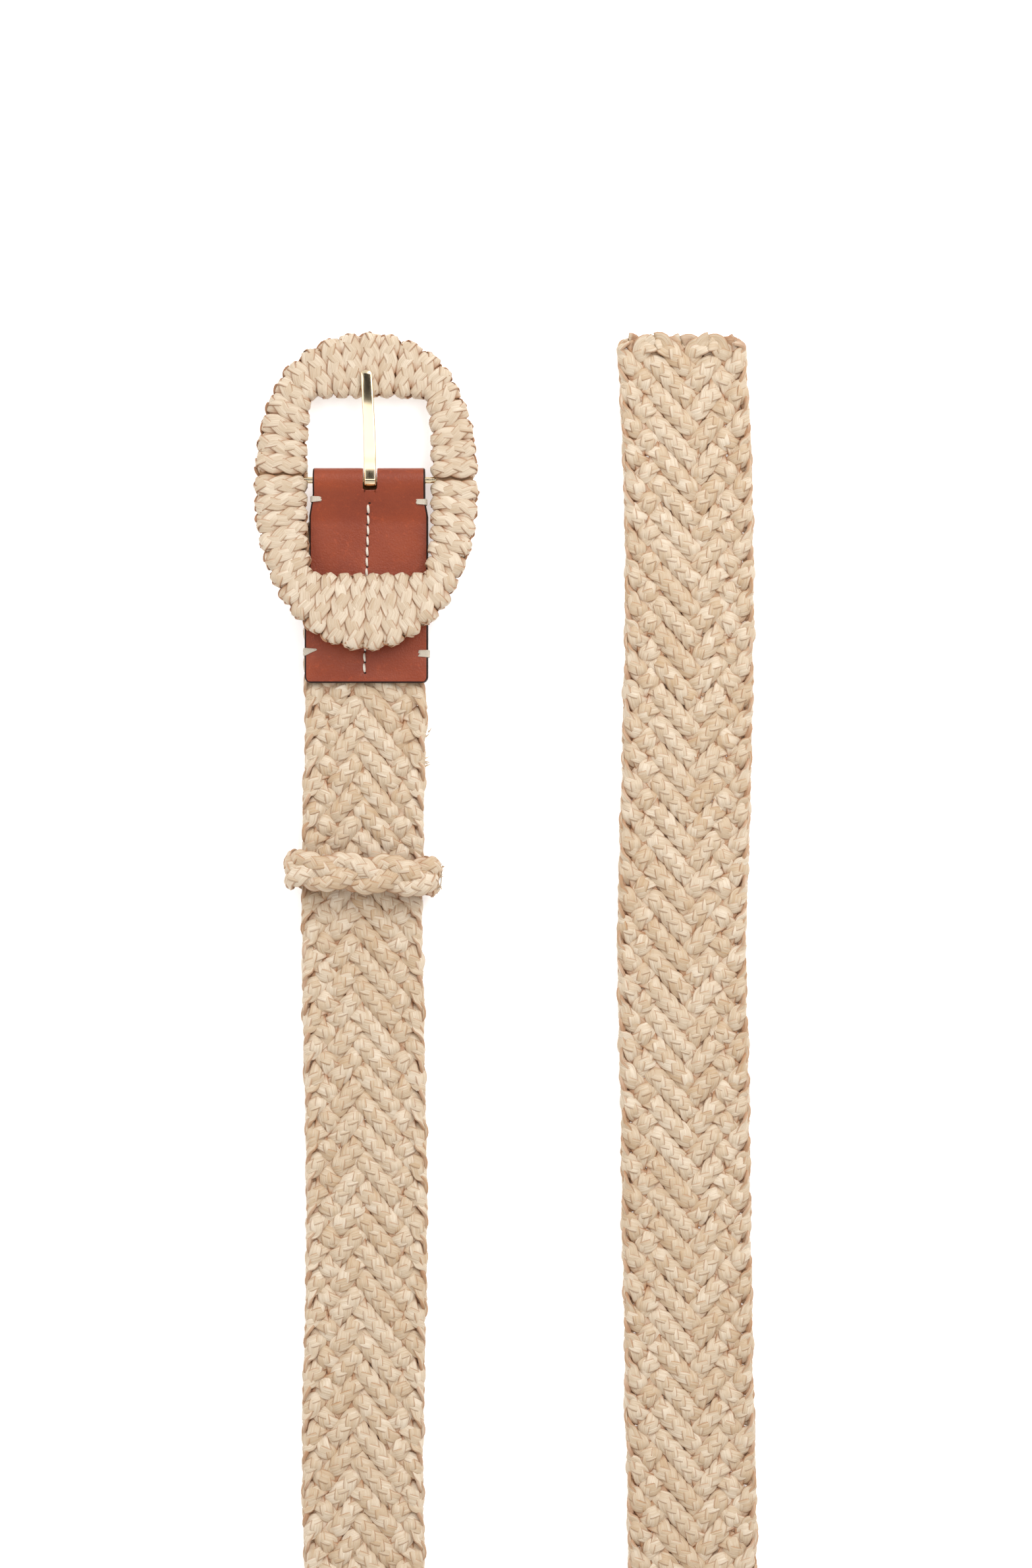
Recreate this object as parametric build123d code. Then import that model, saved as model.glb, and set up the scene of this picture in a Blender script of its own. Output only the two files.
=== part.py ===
"""Plaited raffia belt with a raffia-wound buckle, a pronged bar, a folded leather tab and a loose keeper.

The belt lies on a table in a U. The buckle end and the tip end are flat and side by side, and between them
the strap tips up onto its edge and goes round a half turn with its front face outward.

Everything is drawn in a working frame, in millimetres: +Z up from the table, the buckle's bar along X over
the point (0, 0), and the strap running away from the bar along -Y. The last step moves all nodes together so
that the origin is under the middle of the whole belt.
"""

import math
import os

from build123d import *

# ---- strap -------------------------------------------------------------------------------------------------
STRAP_THICK = 5.2
STRAP_WIDTH = 45.0            # nominal width, at the buckle end
TAIL_WIDTH = 48.0             # the plait is a little looser at the tip end
STRAP_X = -0.8                # centreline of the buckle-end run
RUN_SPACING = 117.4           # between the centrelines of the two straight runs
STRAP_CHAMFER = 1.5
KEEPER_BACK = 2.9             # thickness of the keeper's band under the strap
STRAP_LIFT = KEEPER_BACK + 0.4   # underside of the buckle-end run above the table
STRAP_MID = STRAP_LIFT + STRAP_THICK / 2

STRAP_START = -16.3           # the strap's bound end, inside the leather tab
FLAT_END = -397.0             # where both runs begin to tip onto their edge
TURN_START = -432.0           # where the plan starts to curve
TIP_Y = 54.0
TURN_EVENNESS = 0.6           # 0 would be a plain half circle; 1 eases fully in and out
BANK_SHARE = 0.30             # share of the turn, from each end, in which the strap is still tipping up
TURN_STATIONS = 34

# ---- buckle ------------------------------------------------------------------------------------------------
BUCKLE_X = 0.0
BAR_Z = 10.05
BUCKLE_TILT = 6.8             # degrees; the far rim lies on the table and the near rim on the tab
FRAME_TOP, FRAME_BOTTOM = 54.5, -62.8
FRAME_HALF_WIDTH = 41.2
FRAME_POWER_TOP, FRAME_POWER_BOTTOM = 2.3, 2.0
FRAME_HALF_THICK = 4.0
FRAME_ROUNDING = 3.6
WINDOW_TOP, WINDOW_BOTTOM = 30.0, -33.8
WINDOW_HALF_WIDTH = 22.0
WINDOW_X = 1.0                # the window is a little to the right of the outline's middle
WINDOW_CORNER = 3.0
WRAP_THICK = 2.4              # raffia over the core
SEAM_GAP = 0.2                # between the two windings, at the bar
BAR_RADIUS = 1.2
BAR_HALF_LENGTH = 28.0
BAR_CLEARANCE = 0.1

# ---- prong -------------------------------------------------------------------------------------------------
EYE_RADIUS = 2.9
EYE_BORE = BAR_RADIUS + 0.08
PRONG_LENGTH = 39.4
PRONG_HALF_WIDTH_EYE, PRONG_HALF_WIDTH_TIP = 2.3, 2.05
PRONG_X = 1.4                 # offset of the eye from the middle of the bar
PRONG_LEAN = -1.4             # sideways drift of the tip

# ---- leather tab -------------------------------------------------------------------------------------------
LEATHER = 1.5
LINING = 0.4
LAYER_GAP = 0.03
FOLD_RADIUS = 4.4             # outside of the fold round the bar
TAB_RISE = 16.0               # length over which the two leaves climb to the fold
TAB_END = -73.7
TAB_HALF_THICK = 3.9
TAB_CORNER = 2.5
TAB_EDGES = [                 # (y, left edge, right edge), from the fold to the free end
    (5.0, -19.4, 21.4),
    (-5.0, -19.4, 21.4),
    (-7.5, -19.6, 21.2),
    (-13.0, -20.8, 22.4),
    (-31.0, -20.8, 22.4),
    (-37.0, -22.5, 22.4),
    (TAB_END, -22.5, 22.4),
]
SLOT_HALF_WIDTH = 2.6
SLOT_END = -3.8
SLOT_CORNER = 1.0
TAPE = 0.27                   # cloth tape round the strap's cut end
TAPE_LENGTH = 12.0

# ---- sewing ------------------------------------------------------------------------------------------------
THREAD_RADIUS = 0.4
STITCH_SINK = 0.25            # how far a stitch beds into the leather
STITCH_FIRST, STITCH_LAST = -8.6, -70.1
STITCH_X_FIRST, STITCH_X_LAST = 0.8, -0.8
STITCH_COUNT = 16
TACK_ROWS = {"upper": -7.4, "lower": -62.0}
TACK_REACH = 4.3              # from the leather's edge to the tack's hole
TACK_WIDTH = 2.0
TACK_THICK = 0.6
TIP_THREAD_Y = 44.0
TIP_STITCHES = 9
TIP_HOLLOW = 0.9              # depth of the hollow between the turned-in cords, where the stitches lie

# ---- keeper ------------------------------------------------------------------------------------------------
KEEPER_X = -1.4
KEEPER_Y = -142.8
KEEPER_TILT = -3.0            # degrees, about the vertical
KEEPER_HALF_LENGTH = 8.0
KEEPER_HALF_WIDTH = 28.7
KEEPER_SIDE = 3.7
KEEPER_GAP = STRAP_THICK + 1.3   # room for the tail over the strap
KEEPER_TOP = 3.8
KEEPER_ROUNDING = 3.0


def smooth(x):
    """0 before 0, 1 after 1, and an even S between."""
    x = min(1.0, max(0.0, x))
    return x * x * (3 - 2 * x)


# ---- the strap's line --------------------------------------------------------------------------------------
def turn_heading(t):
    """Heading at share t of the turn: 0 is along -Y and pi is along +Y."""
    return math.pi * (t - TURN_EVENNESS * math.sin(2 * math.pi * t) / (2 * math.pi))


def turn_plan(steps=400):
    """(length of the turn, list of plan offsets at even shares of it), for the given run spacing."""
    across, along, points = 0.0, 0.0, [(0.0, 0.0)]
    for i in range(steps):
        heading = turn_heading((i + 0.5) / steps)
        across += math.sin(heading) / steps
        along -= math.cos(heading) / steps
        points.append((across, along))
    length = RUN_SPACING / across
    return length, [(length * x, length * y) for x, y in points]


TURN_LENGTH, TURN_PLAN = turn_plan()
TIPPING = FLAT_END - TURN_START
BANK_LENGTH = TIPPING + BANK_SHARE * TURN_LENGTH


def strap_station(s):
    """(centre, width direction, normal, width) at s, measured from where the buckle-end run starts to tip."""
    whole = 2 * TIPPING + TURN_LENGTH
    bank = math.pi / 2 * smooth(min(s, whole - s) / BANK_LENGTH)
    t = min(1.0, max(0.0, (s - TIPPING) / TURN_LENGTH))
    x, y = TURN_PLAN[round(t * (len(TURN_PLAN) - 1))]
    heading = turn_heading(t)
    straight = min(s - TIPPING, 0) - max(s - TIPPING - TURN_LENGTH, 0)
    plan = Vector(STRAP_X + x, TURN_START + y - straight, 0)
    width = STRAP_WIDTH + (TAIL_WIDTH - STRAP_WIDTH) * smooth(s / whole)
    lift = STRAP_LIFT * (1 - smooth(s / BANK_LENGTH))
    height = lift + width / 2 * math.sin(bank) + STRAP_THICK / 2 * math.cos(bank)
    outward = Vector(-math.cos(heading), -math.sin(heading), 0)
    up = Vector(0, 0, 1)
    across = outward * math.cos(bank) - up * math.sin(bank)
    normal = up * math.cos(bank) + outward * math.sin(bank)
    return plan + up * height, across, normal, width


def strap_wire(centre, across, normal, width, thick=STRAP_THICK):
    """The strap's section, a rectangle with its four corners cut."""
    a, b, c = width / 2, thick / 2, min(STRAP_CHAMFER, thick * 0.3)
    corners = [(a - c, b), (a, b - c), (a, c - b), (a - c, -b), (c - a, -b), (-a, c - b), (-a, b - c), (c - a, b)]
    return Wire.make_polygon([centre + across * u + normal * v for u, v in corners], close=True)


def flat_wire(x, y, z, width, thick=STRAP_THICK):
    return strap_wire(Vector(x, y, z), Vector(-1, 0, 0), Vector(0, 0, 1), width, thick)


def make_strap():
    """The plaited strap as a plain band: a thinned end in the tab, two flat runs and the half turn."""
    thin = 2 * (TAB_HALF_THICK - LEATHER - LINING - TAPE - 3 * LAYER_GAP)
    inner, outer = 40.0, 44.6
    end_rows = [
        (STRAP_START, inner, thin),
        (-31.0, inner, thin),
        (-38.0, outer, thin),
        (TAB_END, outer, thin),
        (TAB_END - 4.0, STRAP_WIDTH, STRAP_THICK),
    ]
    end = Solid.make_loft([flat_wire(STRAP_X, y, STRAP_MID, w, t) for y, w, t in end_rows], ruled=True)

    near_start = TAB_END - 4.0
    near = extrude(Face(flat_wire(STRAP_X, near_start, STRAP_MID, STRAP_WIDTH)), FLAT_END - near_start, dir=(0, 1, 0))

    whole = 2 * TIPPING + TURN_LENGTH
    stations = [strap_wire(*strap_station(whole * i / TURN_STATIONS)) for i in range(TURN_STATIONS + 1)]
    turn = Solid.make_loft(stations, ruled=True)

    tail_x, tail_z = STRAP_X + RUN_SPACING, STRAP_THICK / 2
    tip_round = 3.0
    far = extrude(Face(flat_wire(tail_x, FLAT_END, tail_z, TAIL_WIDTH)), TIP_Y - tip_round - FLAT_END, dir=(0, 1, 0))
    tip = Solid.make_loft(
        [
            flat_wire(tail_x, TIP_Y - tip_round, tail_z, TAIL_WIDTH),
            flat_wire(tail_x, TIP_Y, tail_z, TAIL_WIDTH - 2 * tip_round),
        ],
        ruled=True,
    )
    hollow = Pos(tail_x, TIP_THREAD_Y, 0) * Box(TAIL_WIDTH - 6, 4.4, 2 * TIP_HOLLOW)
    return end.fuse(near, turn, far, tip) - hollow


def make_end_tape():
    """Cloth tape folded over the strap's cut end: two leaves and the fold between them."""
    inside = TAB_HALF_THICK - LEATHER - LINING - 2 * LAYER_GAP
    length, width = TAPE_LENGTH, 40.0
    front = STRAP_START + LAYER_GAP + TAPE
    outer = Box(width, length, 2 * inside, align=(Align.CENTER, Align.MAX, Align.CENTER))
    hollow = Box(width, length, 2 * (inside - TAPE), align=(Align.CENTER, Align.MAX, Align.CENTER))
    return Pos(STRAP_X, front, STRAP_MID) * (outer - Pos(0, -TAPE, 0) * hollow)


# ---- leather -----------------------------------------------------------------------------------------------
def leaf_height(y, depth):
    """Height of the front leaf's surface, depth below its outer face; the fold's top is at y 0."""
    flat = STRAP_MID + TAB_HALF_THICK - depth
    fold = BAR_Z + FOLD_RADIUS - depth
    return flat + (fold - flat) * smooth(1 + y / TAB_RISE)


def back_height(y, depth):
    """Height of the back leaf's surface, depth above its outer face."""
    flat = STRAP_MID - TAB_HALF_THICK + depth
    fold = BAR_Z - FOLD_RADIUS + depth
    return flat + (fold - flat) * smooth(1 + y / TAB_RISE)


def leaf_edge(height, depth):
    """One surface of a leaf, from its free end to the fold, in the YZ plane."""
    start, end = height(-TAB_RISE, depth), height(0, depth)
    rise = Bezier((-TAB_RISE, start), (-TAB_RISE * 2 / 3, start), (-TAB_RISE / 3, end), (0, end))
    return [Line((TAB_END, start), (-TAB_RISE, start)), rise]


def folded_sheet(depth, thick):
    """A sheet folded round the bar, depth inside the tab's outer face, as wide as the tab could need."""
    inner = depth + thick
    outside = leaf_edge(leaf_height, depth) + leaf_edge(back_height, depth)
    inside = leaf_edge(leaf_height, inner) + leaf_edge(back_height, inner)
    folds = [
        ThreePointArc((0, BAR_Z + r), (r, BAR_Z), (0, BAR_Z - r))
        for r in (FOLD_RADIUS - depth, FOLD_RADIUS - inner)
    ]
    ends = [
        Line((TAB_END, height(TAB_END, depth)), (TAB_END, height(TAB_END, inner)))
        for height in (leaf_height, back_height)
    ]
    profile = make_face(Curve() + outside + inside + folds + ends)
    return extrude(Plane.YZ * profile, 30, both=True)


def tab_outline(inset):
    """The tab seen from above, as a tall prism with its free corners rounded, less the prong's slot."""
    left = [(x_left + inset, y) for y, x_left, _ in TAB_EDGES]
    right = [(x_right - inset, y) for y, _, x_right in TAB_EDGES]
    outline = make_face(Polyline(*left, *reversed(right), close=True))
    free = outline.vertices().sort_by(Axis.Y)[:2]
    outline = fillet(free, TAB_CORNER)
    slot_x = BUCKLE_X + PRONG_X
    slot = Pos(slot_x, SLOT_END, 0) * Rectangle(2 * SLOT_HALF_WIDTH, 12, align=(Align.CENTER, Align.MIN))
    slot = fillet(slot.vertices().sort_by(Axis.Y)[:2], SLOT_CORNER)
    return extrude(outline - slot, 40)


def make_leather():
    return folded_sheet(0, LEATHER) & tab_outline(0)


def make_lining():
    return folded_sheet(LEATHER + LAYER_GAP, LINING) & tab_outline(0.4)


# ---- sewing ------------------------------------------------------------------------------------------------
def bar_between(a, b, radius=THREAD_RADIUS):
    """A round bar of thread from a to b with ball ends."""
    a, b = Vector(*a), Vector(*b)
    rod = Solid.make_cylinder(radius, (b - a).length, Plane(a, z_dir=b - a))
    return rod.fuse(Solid.make_sphere(radius, Plane(a)), Solid.make_sphere(radius, Plane(b)))


def stitch_row(height, side):
    """One thread of the centre seam: a bar on the leather from hole to hole, and a leg down each hole."""
    drop = (STITCH_LAST - STITCH_FIRST) / STITCH_COUNT
    drift = (STITCH_X_LAST - STITCH_X_FIRST) / STITCH_COUNT
    holes = [(STITCH_X_FIRST + drift * i, STITCH_FIRST + drop * i) for i in range(STITCH_COUNT + 1)]
    seats = [(x, y, height(y, 0) + side * (THREAD_RADIUS - STITCH_SINK)) for x, y in holes]
    runs = [bar_between(a, b) for a, b in zip(seats, seats[1:])]
    middle = [(leaf_height(y, 0) + back_height(y, 0)) / 2 for _, y in holes]
    legs = [bar_between(seat, (seat[0], seat[1], z + side * 0.4), 0.3) for seat, z in zip(seats, middle)]
    return runs[0].fuse(*runs[1:], *legs)


def make_tack(row, side):
    """A flat hank of thread sewn round the tab's edge: side is -1 for the left edge and 1 for the right."""
    y = TACK_ROWS[row]
    near = min(TAB_EDGES, key=lambda edge: abs(edge[0] - y))
    edge = near[1] if side < 0 else near[2]
    top, bottom = leaf_height(y, 0) + 0.05, back_height(y, 0) - 0.05
    inner_edge = edge - side * TACK_REACH
    outer_edge = edge + side * 0.15
    middle = ((inner_edge + outer_edge) / 2, (top + bottom) / 2)
    hole = Rectangle(abs(outer_edge - inner_edge), top - bottom)
    band = offset(hole, TACK_THICK, kind=Kind.ARC) - hole
    loop = extrude(Plane.XZ * (Pos(*middle) * band), TACK_WIDTH / 2, both=True)
    return Pos(0, y, 0) * loop


def make_tip_thread():
    """A row of stitches across the back of the tip, which holds the cords' turned-in ends."""
    x, z = STRAP_X + RUN_SPACING, TIP_HOLLOW - THREAD_RADIUS + 0.05
    reach = TAIL_WIDTH / 2 - 4
    places = [x - reach + 2 * reach * i / TIP_STITCHES for i in range(TIP_STITCHES + 1)]
    tops = [(px, TIP_THREAD_Y + (1.5 if i % 2 else -1.5), z) for i, px in enumerate(places)]
    bars = [bar_between(a, b) for a, b in zip(tops, tops[1:])]
    return bars[0].fuse(*bars[1:])


# ---- buckle ------------------------------------------------------------------------------------------------
def rounded_power(angle, centre, half_width, half_height, power):
    c, s = math.cos(angle), math.sin(angle)
    x = half_width * math.copysign(abs(c) ** (2 / power), c)
    return x, centre + half_height * math.copysign(abs(s) ** (2 / power), s)


def frame_ring(inset, half_thick):
    """The frame's ring as a flat plate: an egg-shaped outline with a rounded rectangular window."""
    centre = (FRAME_TOP + FRAME_BOTTOM) / 2
    half_height = (FRAME_TOP - FRAME_BOTTOM) / 2 - inset
    half_width = FRAME_HALF_WIDTH - inset
    count = 28
    points = []
    for i in range(count):
        angle = 2 * math.pi * i / count
        power = FRAME_POWER_TOP if angle < math.pi else FRAME_POWER_BOTTOM
        points.append(rounded_power(angle, centre, half_width, half_height, power))
    outer = make_face(Spline(*points, periodic=True))
    width, height = 2 * (WINDOW_HALF_WIDTH + inset), WINDOW_TOP - WINDOW_BOTTOM + 2 * inset
    window = RectangleRounded(width, height, WINDOW_CORNER + inset)
    window = Pos(WINDOW_X, (WINDOW_TOP + WINDOW_BOTTOM) / 2) * window
    return extrude(outer - window, half_thick, both=True)


def bar_rod(radius, half_length=BAR_HALF_LENGTH):
    return Rot(0, 90, 0) * Cylinder(radius, 2 * half_length)


def make_core():
    """The stiff ring inside the winding, with blind holes for the ends of the bar."""
    return frame_ring(WRAP_THICK, FRAME_HALF_THICK - WRAP_THICK) - bar_rod(BAR_RADIUS)


def make_wraps():
    """The two windings of raffia cord over the core, above and below the bar."""
    body = frame_ring(0, FRAME_HALF_THICK)
    body = fillet(body.edges().filter_by(lambda e: abs(e.tangent_at(0.3).Z) < 0.5), FRAME_ROUNDING)
    sleeve = body - frame_ring(WRAP_THICK, FRAME_HALF_THICK - WRAP_THICK) - bar_rod(BAR_RADIUS + BAR_CLEARANCE)
    reach = Pos(0, SEAM_GAP / 2, 0) * Box(100, 80, 20, align=(Align.CENTER, Align.MIN, Align.CENTER))
    return sleeve & reach, sleeve & mirror(reach, Plane.XZ)


def make_prong():
    """A flat tongue with its root curled round the bar; it rests on the far rim."""
    top = Spline((0, EYE_RADIUS), (14, 4.1), (28, 5.7), (36, 5.9), (PRONG_LENGTH, 5.3), tangents=[(1, 0), (1, -0.3)])
    under = Spline((0, EYE_BORE), (14, 2.4), (28, 3.8), (34, 4.25), (PRONG_LENGTH, 4.3), tangents=[(1, 0), (1, 0)])
    tip = Line((PRONG_LENGTH, 5.3), (PRONG_LENGTH, 4.3))
    root = Line((0, EYE_RADIUS), (0, EYE_BORE))
    tongue = make_face(Curve() + [top, under, tip, root])
    split = make_face(Polyline((0.8, 0), (4, 0.2), (4, 0.9), (0.8, 0.6), close=True))
    profile = (Circle(EYE_RADIUS) - Circle(EYE_BORE) - split) + tongue
    blade = extrude(Plane.YZ * profile, 5, both=True)

    root_y, tip_y, lean = 6.0, PRONG_LENGTH, PRONG_LEAN
    a, b = PRONG_HALF_WIDTH_EYE, PRONG_HALF_WIDTH_TIP
    plan = make_face(
        Polyline((-a, -4), (-a, root_y), (lean - b, tip_y), (lean + b, tip_y), (a, root_y), (a, -4), close=True)
    )
    plan = fillet(plan.vertices().sort_by(Axis.Y)[-2:], 1.3)
    return Pos(PRONG_X, 0, 0) * (blade & extrude(plan, 10, both=True))


def in_buckle(shape):
    """Tips a shape drawn about the bar to the buckle's resting slope and puts it at the bar."""
    return Pos(BUCKLE_X, 0, BAR_Z) * Rot(-BUCKLE_TILT, 0, 0) * shape


# ---- keeper ------------------------------------------------------------------------------------------------
def in_keeper(shape):
    return Pos(KEEPER_X, KEEPER_Y, 0) * Rot(0, 0, KEEPER_TILT) * shape


def make_keeper():
    """The plaited loop as a plain band, with room over the strap for the tail."""
    inner_top = STRAP_LIFT + STRAP_THICK + KEEPER_GAP
    outer_height = inner_top + KEEPER_TOP
    inner_height = inner_top - KEEPER_BACK
    outer = RectangleRounded(2 * KEEPER_HALF_WIDTH, outer_height, KEEPER_ROUNDING + KEEPER_SIDE)
    inner = RectangleRounded(2 * (KEEPER_HALF_WIDTH - KEEPER_SIDE), inner_height, KEEPER_ROUNDING)
    section = Pos(0, outer_height / 2) * outer - Pos(0, KEEPER_BACK + inner_height / 2) * inner
    return extrude(Plane.XZ * section, KEEPER_HALF_LENGTH, both=True)


def make_keeper_thread():
    """Three turns of thread round the keeper's band, where its two ends meet at the right-hand side."""
    x = KEEPER_HALF_WIDTH - KEEPER_SIDE / 2
    core = Rectangle(KEEPER_SIDE, 2 * KEEPER_HALF_LENGTH)
    turn = extrude(offset(core, 0.4, kind=Kind.ARC) - core, 0.3, both=True)
    return [Pos(x, 0, z) * turn for z in (8.6, 9.6, 10.6)]


# ---- assembly ----------------------------------------------------------------------------------------------
def build():
    upper, lower = make_wraps()
    nodes = {
        "strap_plait": make_strap(),
        "strap_end_tape": make_end_tape(),
        "leather_tab": make_leather(),
        "tab_lining": make_lining(),
        "tab_needle_thread": stitch_row(leaf_height, 1),
        "tab_bobbin_thread": stitch_row(back_height, -1),
        "tip_lock_thread": make_tip_thread(),
        "buckle_core": in_buckle(make_core()),
        "buckle_bar": in_buckle(bar_rod(BAR_RADIUS)),
        "buckle_wrap_upper": in_buckle(upper),
        "buckle_wrap_lower": in_buckle(lower),
        "prong": in_buckle(make_prong()),
        "keeper_plait": in_keeper(make_keeper()),
        "keeper_joint_thread": Compound([in_keeper(turn) for turn in make_keeper_thread()]),
    }
    for row in TACK_ROWS:
        for side, word in ((-1, "left"), (1, "right")):
            nodes[f"tack_{row}_{word}"] = make_tack(row, side)
    return nodes


def main():
    nodes = build()
    box = Compound(list(nodes.values())).bounding_box()
    shift = Vector(-box.center().X, -box.center().Y, 0)
    print("shift to the row frame", shift, "box", box.size, "lowest", box.min.Z)
    print("turn length", TURN_LENGTH, "bar to tip", -TURN_START * 2 + TURN_LENGTH + TIP_Y)
    os.makedirs("parts", exist_ok=True)
    for name, shape in nodes.items():
        export_step(Pos(*shift) * shape, f"parts/{name}.step")


main()
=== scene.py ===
"""Looks for the plaited raffia belt: braided cords, leather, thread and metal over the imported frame.

Shapes are worked out in millimetres in a working frame, +Z up, with the buckle's bar along X over (0, 0) and
the strap running away from it along -Y. in_row() takes them to the row frame in metres.
"""

import math

import bmesh
import bpy
import mathutils
import numpy as np
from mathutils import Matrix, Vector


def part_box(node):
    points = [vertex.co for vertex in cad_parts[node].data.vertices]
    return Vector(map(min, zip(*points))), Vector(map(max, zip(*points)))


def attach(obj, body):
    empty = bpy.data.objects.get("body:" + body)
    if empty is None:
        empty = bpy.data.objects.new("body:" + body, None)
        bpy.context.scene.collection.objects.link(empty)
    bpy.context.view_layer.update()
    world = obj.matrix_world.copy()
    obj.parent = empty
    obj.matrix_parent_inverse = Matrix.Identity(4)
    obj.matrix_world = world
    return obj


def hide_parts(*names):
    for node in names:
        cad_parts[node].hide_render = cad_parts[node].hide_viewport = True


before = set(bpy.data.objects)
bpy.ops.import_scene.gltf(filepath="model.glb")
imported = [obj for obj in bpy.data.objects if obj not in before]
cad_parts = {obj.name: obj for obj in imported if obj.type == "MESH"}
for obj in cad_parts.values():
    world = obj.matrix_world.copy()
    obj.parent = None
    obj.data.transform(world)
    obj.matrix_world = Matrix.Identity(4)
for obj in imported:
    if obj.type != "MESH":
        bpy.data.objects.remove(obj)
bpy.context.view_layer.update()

# ---- where things are, in millimetres ----
STRAP_THICK = 5.2
STRAP_WIDTH = 45.6  # over the cords, at the buckle end
TAIL_WIDTH = 48.6  # the same at the tip
STRAP_X = -0.8  # middle of the buckle-end run
RUN_SPACING = 117.4  # between the middles of the two straight runs
STRAP_LIFT = 3.3  # underside of the buckle-end run above the table
STRAP_MID = STRAP_LIFT + STRAP_THICK / 2
FLAT_END = -397.0  # where both runs begin to tip onto their edge
TURN_START = -432.0  # where the plan starts to curve
TIP_Y = 54.0
TURN_EVENNESS = 0.6  # 0 would be a plain half circle; 1 eases fully in and out
BANK_SHARE = 0.30  # share of the turn, from each end, in which the strap still tips up
TURN_STEPS = 400
RUN_SWAY, RUN_SWAY_LENGTH, RUN_SWAY_FADE = 0.8, 34, 40  # the buckle-end run's own slow bends
TAIL_EASE = 60  # length over which the tip run's bends set in
TAIL_BENDS = [  # (y, how far the tip run lies to the right there)
    (-470, 1.2), (-392, 2.4), (-300, 0.5), (-218, -0.6), (-168, -1.8),
    (-118, -0.2), (-50, 1.2), (0, 0.8), (54, -2.0),
]

OVER = "LRLLRRRLR"  # which way lies on top at each crossing, from the left, buckle upward
CORDS = 10
LAP = 2 * CORDS  # a cord's way across the strap and back, in half rows
ROW = 10.9  # length of one full row of the plait
CORD = 8.1  # width of one cord
CORD_THICK = 2.75
CORD_PERIOD = 15.2  # length of one turn of a cord's own braid
LAYER = 1.22  # height of each cord's middle above or below the strap's middle
EDGE_IN = 2.3  # from the strap's edge to the middle of a cord that turns there
TURN_OVER_IN = 3.2  # the same at the tip
EDGE_BULGE = 0.5  # how far short of the outermost column a turning cord stays
EDGE_SQUEEZE, EDGE_FATTEN = 0.30, 0.55  # a turning cord gets narrower and thicker
TAB_SQUEEZE = 0.42  # how much thinner the plait is between the tab's leaves
PLAIT_START = 17.0
CROSSING_STEPS, TIP_STEPS = 9, 8

YARN_WIDE = 0.60  # one of a cord's three yarns, as shares of the cord
YARN_THICK = 0.42
YARN_RISE = 0.14
YARN_LEAN = 0.5  # how far a yarn tips over the cord's side, in radians
YARN_OVERLAP = 0.9
WAVES = 4  # sine waves in one wobble

BAR_Z = 10.05
BUCKLE_TILT = math.radians(6.8)
FRAME_HALF_THICK = 4.0
OUTLINE_HALF_WIDTH = 41.0
OUTLINE_MIDDLE_Y, OUTLINE_HALF_LENGTH = -4.1, 58.9
OUTLINE_POWER_ABOVE, OUTLINE_POWER_BELOW = 2.3, 2.0  # above and below the outline's middle
WINDOW_LEFT, WINDOW_RIGHT = -21.0, 23.0
WINDOW_BOTTOM, WINDOW_TOP = -33.8, 30.0
WINDOW_CORNER = 3.2
OUTLINE_STEPS = 1440
OUTER_LENGTH, INNER_LENGTH = 318, 211  # round the frame's outer edge and round its window
WRAP_CORD = 2.5  # thickness that the winding takes on the frame
WRAP_THICK = 2.1  # thickness of its braid
WRAP_OVERLAP = 1.17  # width of the cord, as a share of the space for each turn
WRAP_PERIOD = 19.5
WRAP_STEPS = 62  # points in one turn round the frame

PRONG_X, PRONG_LENGTH, PRONG_LEAN = 1.4, 39.4, -1.4
EYE_OUTER, EYE_INNER = 2.9, 1.28
PRONG_HALF_EYE, PRONG_HALF_TIP = 2.3, 2.08
PRONG_ROUND = 1.1  # radius of the tip's corners
PRONG_BEVEL = 0.55
PRONG_TOP = [(0, 2.9), (4, 2.95), (9, 3.75), (14, 4.2), (28, 5.6), (33, 5.8), (37, 5.75), (PRONG_LENGTH, 5.3)]
PRONG_UNDER = [(0, 1.28), (5, 1.55), (14, 2.45), (24, 3.45), (30, 3.95), (36, 4.25), (PRONG_LENGTH, 4.3)]
EYE_STEPS, BEVEL_STEPS = 60, 5

LEATHER, LINING = 1.5, 0.4
LAYER_GAP = 0.03
FOLD_RADIUS = 4.4  # outside of the fold round the bar
TAB_RISE = 16.0  # length over which the two leaves climb to the fold
TAB_END, TAB_HALF_THICK, TAB_CORNER = -73.7, 3.9, 2.4
TAB_FOLD_LEFT, TAB_FOLD_WIDTH = -19.4, 40.8
TAB_YS = [TAB_END, -37.0, -31.0, -13.0, -7.5, -5.0]
TAB_LEFT = [-22.5, -22.5, -20.8, -20.8, -19.8, TAB_FOLD_LEFT]
TAB_RIGHT = [22.4, 22.4, 22.4, 22.4, 21.4, 21.4]
SLOT_HALF_WIDTH, SLOT_END, SLOT_CORNER = 2.6, -3.8, 1.0
SLOT_BACK_END = -1.1  # the slot stops here in the back leaf
RIM_STEPS = np.array([0, 0.1, 0.3, 0.6, 1.0])
SLOT_ROWS = np.array([-1.2, -0.8, -0.4, 0, 0.12, 0.3, 0.55, 0.8, 1.0])
FOLD_STEPS = 30
SIDE_LINES, SLOT_LINES = 34, 6  # mesh lines beside the slot and across it
# The second material is the dark edge paint; the needle holes get it too, as painted shade.
FACE, PAINTED_AND_HOLE_SHADE, CUT = 0, 1, 2  # a sheet's three materials

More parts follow.
